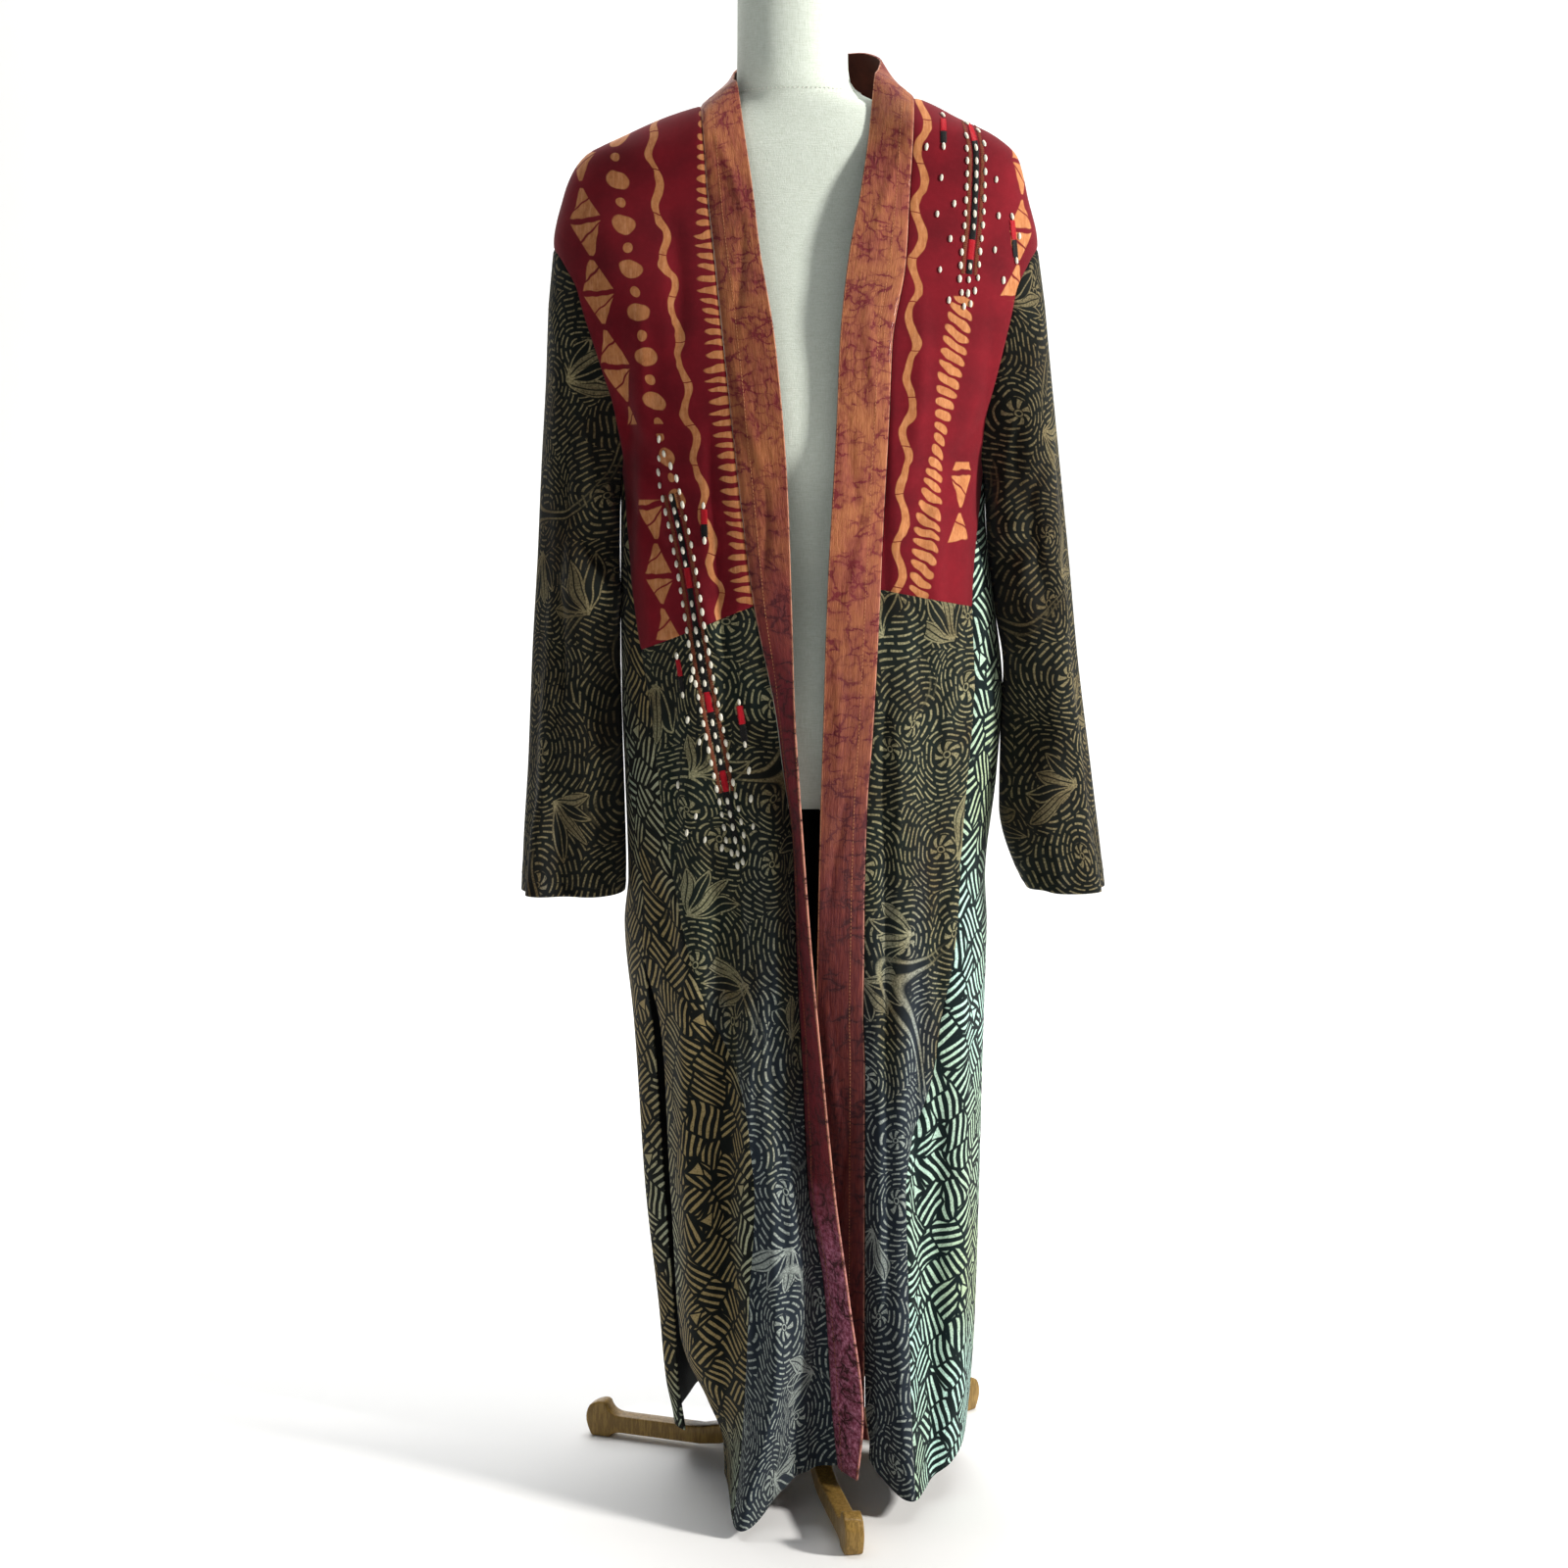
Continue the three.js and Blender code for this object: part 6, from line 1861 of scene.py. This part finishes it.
@dataclass
class Beadwork:
    """All beads and embroidery of the two fronts."""

    strips: tuple[BeadStrip, ...] = (
        BeadStrip(
            Side.RIGHT,
            (
                (-127.5, 1011), (-119, 974), (-107, 920), (-98, 866), (-90, 812),
                (-80, 757), (-69, 702), (-60, 657), (-53, 619),
            ),
            (111.0, 227.0, 302.0),
            (42.0, 369.0),
            322.0,
        ),
        BeadStrip(
            Side.LEFT,
            ((158, 1322), (165, 1282), (163, 1228), (159, 1191), (154, 1134)),
            (6.0, 118.0),
            (4.0, 150.0),
            150.0,
        ),
    )
    bars: tuple[BarStitch, ...] = (
        BarStitch(Side.RIGHT, (-88, 961), (-87, 927)),
        BarStitch(Side.RIGHT, (-56, 780), (-50, 739)),
        BarStitch(Side.RIGHT, (-113, 822), (-107, 784)),
        BarStitch(Side.LEFT, (134, 1322), (134, 1290)),
        BarStitch(Side.LEFT, (199, 1229), (203, 1186)),
    )
    lone: tuple[tuple[Side, float, float], ...] = (
        (Side.RIGHT, -103, 762), (Side.RIGHT, -92, 742), (Side.RIGHT, -46, 716), (Side.RIGHT, -100, 800),
        (Side.RIGHT, -96, 672), (Side.RIGHT, -88, 650), (Side.RIGHT, -44, 690), (Side.RIGHT, -104, 656),
        (Side.RIGHT, -129, 1021), (Side.RIGHT, -72, 642), (Side.RIGHT, -42, 664), (Side.RIGHT, -112, 700),
        (Side.LEFT, 118, 1290), (Side.LEFT, 132, 1262), (Side.LEFT, 128, 1228), (Side.LEFT, 140, 1205),
        (Side.LEFT, 130, 1176), (Side.LEFT, 184, 1262), (Side.LEFT, 186, 1228), (Side.LEFT, 182, 1196),
        (Side.LEFT, 144, 1238), (Side.LEFT, 190, 1168), (Side.LEFT, 206, 1210), (Side.LEFT, 138, 1148),
    )

    def dress(self, at_points: StitchTree) -> list[bpy.types.Object]:
        """Lays the beads and threads.

        Args:
            at_points: The tree that puts one bead or thread at each point.

        Returns:
            The pieces.
        """
        beads, black, red, rust = (Guide(joined=False) for _ in range(4))
        for strip in self.strips:
            strip.beads(beads)
            strip.satin_threads(black, red, rust)
        for bar in self.bars:
            one = BeadStrip(bar.side, (bar.top, bar.end), (), (0.0, 1.0), 0.0)
            total = one.length()
            beads.add(*one.along(np.array([1.0, total - 1.0]), 0.0, 1.6))
            for guide, start, end in ((red, 5.0, total * 0.52), (black, total * 0.52 + 0.9, total - 4.0)):
                point, facing, heading = one.along(np.arange(start, end, 0.9), 0.0, 0.85)
                guide.add(point, facing, np.cross(facing, heading))
        for side, x, z in self.lone:
            point, facing = SURFACE.at(side, np.array([float(x)]), np.array([float(z)]))
            beads.add(point + facing * 1.5, facing, np.array([[0.15, 0.0, 1.0]]))
        bead = {"Length": 0.0073, "Width": 0.0037, "Height": 0.003, "Scatter": 0.12}
        satin = {"Length": 0.0074, "Width": 0.0012, "Height": 0.0013, "Scatter": 0.06}
        rusty = {"Length": 0.0046, "Width": 0.0019, "Height": 0.0009, "Scatter": 0.1}
        return [
            at_points.lay("beads_white", beads, bead, WHITE_BEAD, 3),
            at_points.lay("satin_black", black, satin, BLACK_SATIN, 5),
            at_points.lay("satin_red", red, satin, RED_SATIN, 7),
            at_points.lay("stitches_rust", rust, rusty, RUST_THREAD, 9),
        ]


@dataclass
class Sewing:
    """The running lines of stitches that hold the bands, the hems and the cuffs."""

    walls: dict[str, Wall]
    form: "DressForm"

    def lines(self, names: Sequence[str], rows: Sequence[int], columns: Sequence[int]) -> Guide:
        """Guides along whole rows and columns of some walls.

        Args:
            names: The pieces.
            rows: Rows that are sewn.
            columns: Columns that are sewn.

        Returns:
            The guide.
        """
        guide = Guide()
        for name in names:
            wall = self.walls[name]
            for row in rows:
                points, facing = wall.line(row, slice(None), 0.12)
                if wall.round:
                    points, facing = closed(points), closed(facing)
                guide.add(points, facing)
            for column in columns:
                guide.add(*wall.line(slice(None), column, 0.12))
        return guide

    def sew(self, tree: StitchTree) -> list[bpy.types.Object]:
        """Lays all the lines.

        Args:
            tree: The tree that spaces stitches along paths.

        Returns:
            The pieces.
        """
        fine = {"Pitch": 0.0034, "Length": 0.0026, "Width": 0.00055, "Height": 0.0004, "Scatter": 0.08}
        seam = Guide()
        self.form.seams(seam)
        hems = ("front_lower_right", "front_lower_left", "back_lower", "side_front_right")
        hems += ("side_front_left", "side_back_right", "side_back_left")
        bands, sleeves = ("band_right", "band_left"), ("sleeve_right", "sleeve_left")
        coarser = {"Pitch": 0.0042, "Width": 0.0011, "Height": 0.0009}
        return [
            tree.lay("topstitch_bands", self.lines(bands, (), (-2, 6)), fine, COPPER_THREAD, 11),
            tree.lay("topstitch_hems", self.lines(hems, (3,), ()), fine, DARK_THREAD, 13),
            tree.lay("topstitch_cuffs", self.lines(sleeves, (-6,), ()), fine, DARK_THREAD, 15),
            tree.lay("form_seam", seam, fine | coarser, LINEN_THREAD, 17),
        ]


@dataclass
class DressForm:
    """The padded linen torso and its plain neck cap."""

    spans: int = 96
    power: float = 2.2
    cap_top: float = 1450.0
    cap_radius: float = 51.0

    def ring(self, z: float, shrink: float = 0.0) -> Array:
        """One section of the form."""
        turn = np.linspace(0, 2 * np.pi, self.spans, endpoint=False)
        across = signed_power(np.sin(turn), 2 / self.power)
        along = signed_power(np.cos(turn), 2 / self.power)
        front, back = FORM.front_y(z), FORM.back_y(z)
        depth = (back - front) / 2 - shrink
        x = FORM.mid_x(z) + (FORM.half_width(z) - shrink) * across
        return np.stack([x, (front + back) / 2 - depth * along, np.full(turn.shape, float(z))], -1)

    def loft(self, name: str, rings: Sequence[Array]) -> bpy.types.Object:
        """A closed solid through rings of points, from the bottom up."""
        n = len(rings[0])
        index = np.arange(len(rings) * n).reshape(-1, n)
        index = np.concatenate([index, index[:, :1]], 1)
        quads = np.stack([index[:-1, :-1], index[:-1, 1:], index[1:, 1:], index[1:, :-1]], -1).reshape(-1, 4)
        faces = quads.tolist() + [list(range(n))[::-1], list(range((len(rings) - 1) * n, len(rings) * n))]
        return plain_object(name, np.concatenate(rings), faces)

    def build(self, linen: Linen) -> list[bpy.types.Object]:
        """Makes the torso and the neck's cap."""
        heights = np.concatenate([[676.0, 678.0, 681.0, 685.0], np.arange(690, 1436, 6.0), [1436.0]])
        torso = self.loft("form_torso_linen", [self.ring(z) for z in heights])
        middle = self.ring(1436.0).mean(0)
        cap_rings = []
        wide = self.cap_radius
        for radius, z in ((wide, 1436.4), (wide, 1443), (50, 1446), (47.5, 1448.6), (43, 1450), (20, 1450)):
            turn = np.linspace(0, 2 * np.pi, 64, endpoint=False)
            ring = np.stack([np.sin(turn), -np.cos(turn), 0 * turn], -1) * radius + middle
            ring[:, 2] = z
            cap_rings.append(ring)
        cap = self.loft("form_neck_cap_linen", cap_rings)
        for piece, node in ((torso, "form_torso"), (cap, "form_neck_cap")):
            outward(piece)
            piece.data.materials.append(linen.material())
            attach(piece, "root")
            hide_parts(node)
        return [torso, cap]

    def seams(self, guide: Guide) -> None:
        """Adds the stitched line of the form round the neck."""
        ring = self.ring(1346.0)
        outer = closed(unit(ring - ring.mean(0)))
        guide.add(closed(ring) + outer * 0.4, outer)


def outward(piece: bpy.types.Object) -> None:
    """Turns a closed piece's faces outwards."""
    mesh = bmesh.new()
    mesh.from_mesh(piece.data)
    bmesh.ops.recalc_face_normals(mesh, faces=mesh.faces)
    mesh.to_mesh(piece.data)
    mesh.free()


@dataclass
class Stand:
    """The wooden hub and legs and the black pole, with their edges rounded."""

    leg_bevel: float = 0.0028
    bevel: float = 0.0012
    steps: int = 3
    sharp: float = math.radians(40)
    flat: float = math.radians(2)
    weld: float = 1e-5
    nodes: tuple[str, ...] = ("stand_pole", "stand_hub", "stand_leg_1", "stand_leg_2", "stand_leg_3")

    def build(self) -> list[bpy.types.Object]:
        """Makes a rounded copy of each piece of the stand."""
        made = []
        wood, black = Wood(), BlackPaint()
        for node in self.nodes:
            source = bpy.data.objects[node]
            mesh = source.data.copy()
            work = bmesh.new()
            work.from_mesh(mesh)
            bmesh.ops.remove_doubles(work, verts=work.verts, dist=self.weld)
            bmesh.ops.dissolve_limit(work, angle_limit=self.flat, verts=work.verts, edges=work.edges)
            work.to_mesh(mesh)
            work.free()
            mesh.materials.clear()
            finish = black if node == "stand_pole" else wood
            mesh.materials.append(finish.material())
            mesh.polygons.foreach_set("use_smooth", [True] * len(mesh.polygons))
            piece = linked(node + "_rounded", mesh)
            rounding = piece.modifiers.new("rounding", "BEVEL")
            rounding.width = self.leg_bevel if node.startswith("stand_leg") else self.bevel
            rounding.segments = self.steps
            rounding.limit_method = "ANGLE"
            rounding.angle_limit = self.sharp
            rounding.harden_normals = True
            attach(piece, "root")
            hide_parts(node)
            made.append(piece)
        return made


@dataclass
class Kimono:
    """The garment: its panels, sleeves and bands with their finishes and sewing."""

    walls: dict[str, Wall] = field(default_factory=dict)

    def patterns(self) -> list[Panel | Sleeve | Band]:
        """Every piece that is cut and sewn."""
        return [
            *body_panels(),
            Sleeve("sleeve_right", Side.RIGHT, RIGHT_SLEEVE, RIGHT_SLEEVE_FOLDS, RIGHT_SLEEVE_CREASES),
            Sleeve("sleeve_left", Side.LEFT, LEFT_SLEEVE, LEFT_SLEEVE_FOLDS, LEFT_SLEEVE_CREASES),
            Band("band_right", Side.RIGHT, RIGHT_BAND, RIGHT_COLLAR, RIGHT_BAND_CREASES),
            Band("band_left", Side.LEFT, LEFT_BAND, LEFT_COLLAR, LEFT_BAND_CREASES),
        ]

    def finishes(self) -> dict[str, object]:
        """The finish of each piece."""
        leaf = [LeafPrint(f"leaf_print_{k}", shift=370.0 * k) for k in range(3)]
        # Copies 3 and 4, for the sleeves, have a darker ground and duller, browner lines: painted shade on
        # the sleeves.
        leaf += [
            LeafPrint(f"leaf_print_{k}", shift=370.0 * k, ground=paint(17, 22, 18), line=paint(150, 138, 102),
                      dull=paint(98, 82, 54))
            for k in (3, 4)
        ]
        right = StripePrint(
            "stripe_print_right", paint(14, 18, 15), paint(156, 138, 94), paint(194, 220, 198), share=0.5
        )
        left = StripePrint("stripe_print_left", paint(8, 26, 28), paint(196, 234, 222), paint(184, 204, 166),
                           block=30.0, pitch=7.6, stroke=1.5)
        return {
            "yoke_front_right": CrimsonBatik("batik_right", RIGHT_COLUMNS),
            "yoke_front_left": CrimsonBatik("batik_left", LEFT_COLUMNS),
            "yoke_back": CrimsonBatik("batik_back", BACK_COLUMNS),
            "front_lower_right": leaf[0], "front_lower_left": leaf[1], "back_lower": leaf[2],
            "sleeve_right": leaf[3], "sleeve_left": leaf[4],
            "side_front_right": right, "side_back_right": right,
            "side_front_left": left, "side_back_left": left,
            "band_right": CopperCrackle(
                "copper_right", 960.0, 760.0, paint(104, 16, 30), low_light=paint(134, 36, 40), foot_top=300.0
            ),
            "band_left": CopperCrackle(
                "copper_left", 860.0, 520.0, paint(88, 22, 26), low_light=paint(138, 60, 42)
            ),
        }

    def build(self) -> list[bpy.types.Object]:
        """Makes and dresses every cloth piece."""
        made, dyed = [], {}
        finishes = self.finishes()
        for pattern in self.patterns():
            wall = self.walls[pattern.name] = pattern.wall()
            piece = wall.build(pattern.name + "_cloth")
            finish = finishes[pattern.name]
            if finish not in dyed:
                dyed[finish] = (finish.face(), finish.reverse())
            for material in dyed[finish]:
                piece.data.materials.append(material)
            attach(piece, "root")
            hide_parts(pattern.name)
            width, length, area = wall.cut()
            LOG.info("%s: cut %.3f by %.3f m, %.3f m2", piece.name, width, length, area)
            made.append(piece)
        return made


@dataclass
class Studio:
    """A pale floor, soft lights and the camera.

    Attributes:
        eye: Where the camera stands, in metres.
        dip: How far it looks down, in degrees.
        lens: Its lens, in millimetres.
        sensor: Width of its sensor, in millimetres.
        lamps: Name, place, aim, side, power and colour of each lamp.
        floor_top: Height of the floor, just under the feet.
        floor_half: Half the floor's width.
        floor_front: Where the floor begins.
        curve: Radius of the curve that joins the floor to the wall.
        wall_top: Height of the wall.
        world: Colour of the light from all round.
        world_power: Its strength.
    """

    eye: Spot = (-0.028, -2.460, 0.995)
    dip: float = 7.0
    lens: float = 59.2
    sensor: float = 36.0
    lamps: tuple[tuple[str, Spot, Spot, float, float, Spot], ...] = (
        ("key", (2.9, -1.25, 1.9), (0, 0, 0.8), 0.45, 150.0, (1.0, 0.97, 0.93)),
        ("fill", (-1.2, -2.8, 1.4), (0, 0, 0.8), 1.4, 8.0, (0.92, 0.96, 1.0)),
        ("rear", (-0.9, 2.4, 2.6), (0, 0, 0.8), 2.0, 26.0, (1.0, 1.0, 1.0)),
        ("backdrop", (0.0, 1.4, 5.0), (0, 5.6, 0.6), 4.0, 330.0, (1.0, 1.0, 1.0)),
    )
    floor_top: float = -0.0005
    floor_half: float = 9.0
    floor_front: float = -6.0
    curve: float = 3.0
    wall_top: float = 8.0
    world: tuple[float, float, float, float] = (0.93, 0.94, 0.95, 1.0)
    world_power: float = 0.05

    def lamp(self, name: str, place: Spot, aim: Spot, size: float, power: float, colour: Spot) -> None:
        """Adds one soft square lamp.

        Args:
            name: The lamp's name.
            place: Where it stands, in metres.
            aim: The place that it faces.
            size: Length of its side.
            power: Power in watts.
            colour: Colour of its light.
        """
        data = bpy.data.lights.new(name, "AREA")
        data.size, data.energy, data.color = size, power, colour
        lamp = linked(name, data)
        lamp.location = place
        lamp.rotation_euler = (Vector(aim) - Vector(place)).to_track_quat("-Z", "Y").to_euler()

    def lay_floor(self) -> None:
        """Makes the floor, which curves up into a wall behind the part."""
        turn = np.linspace(0, np.pi / 2, 24)
        y = np.concatenate([[self.floor_front], self.curve + self.curve * np.sin(turn), [2 * self.curve]])
        risen = self.curve - self.curve * np.cos(turn) + self.floor_top
        z = np.concatenate([[self.floor_top], risen, [self.wall_top]])
        sides = [np.stack([0 * y + x, y, z], -1) for x in (-self.floor_half, self.floor_half)]
        faces = [(k, k + 1, len(y) + k + 1, len(y) + k)[::-1] for k in range(len(y) - 1)]
        floor = linked("floor", bpy.data.meshes.new("floor"))
        floor.data.from_pydata(np.concatenate(sides).tolist(), [], faces)
        floor.data.polygons.foreach_set("use_smooth", [True] * len(faces))
        graph = Graph("floor_pale")
        tone = graph.noise(graph.solid_place(), 1.5, 2.0)
        pale = graph.mix(tone, paint(246, 246, 245), paint(250, 250, 249))
        floor.data.materials.append(graph.shader(pale, 0.95, shine=0.0))

    def build(self) -> None:
        """Makes the floor, the lamps, the world and the camera."""
        self.lay_floor()
        for lamp in self.lamps:
            self.lamp(*lamp)
        world = bpy.data.worlds.new("studio")
        world.use_nodes = True
        background = world.node_tree.nodes["Background"]
        background.inputs["Color"].default_value = self.world
        background.inputs["Strength"].default_value = self.world_power
        scene = bpy.context.scene
        scene.world = world
        scene.view_settings.view_transform = "Standard"
        camera = linked("camera", bpy.data.cameras.new("camera"))
        camera.location = self.eye
        camera.rotation_euler = (math.radians(90 - self.dip), 0, 0)
        camera.data.lens = self.lens
        camera.data.sensor_width = self.sensor
        scene.camera = camera


def main() -> None:
    """Builds the kimono, its form, its stand and the studio."""
    logging.basicConfig(level=logging.INFO, format="%(message)s")
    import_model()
    Studio().build()
    kimono = Kimono()
    pieces = kimono.build()
    pieces += DressForm().build(Linen())
    pieces += Stand().build()
    pieces += Beadwork().dress(StitchTree("stitches_at_points", False, (8, 6)))
    pieces += Sewing(kimono.walls, DressForm()).sew(StitchTree("stitches_along_paths", True, (6, 4)))
    for piece in pieces:
        LOG.info("%s: %d faces", piece.name, len(piece.data.polygons))


if __name__ == "__main__":
    main()
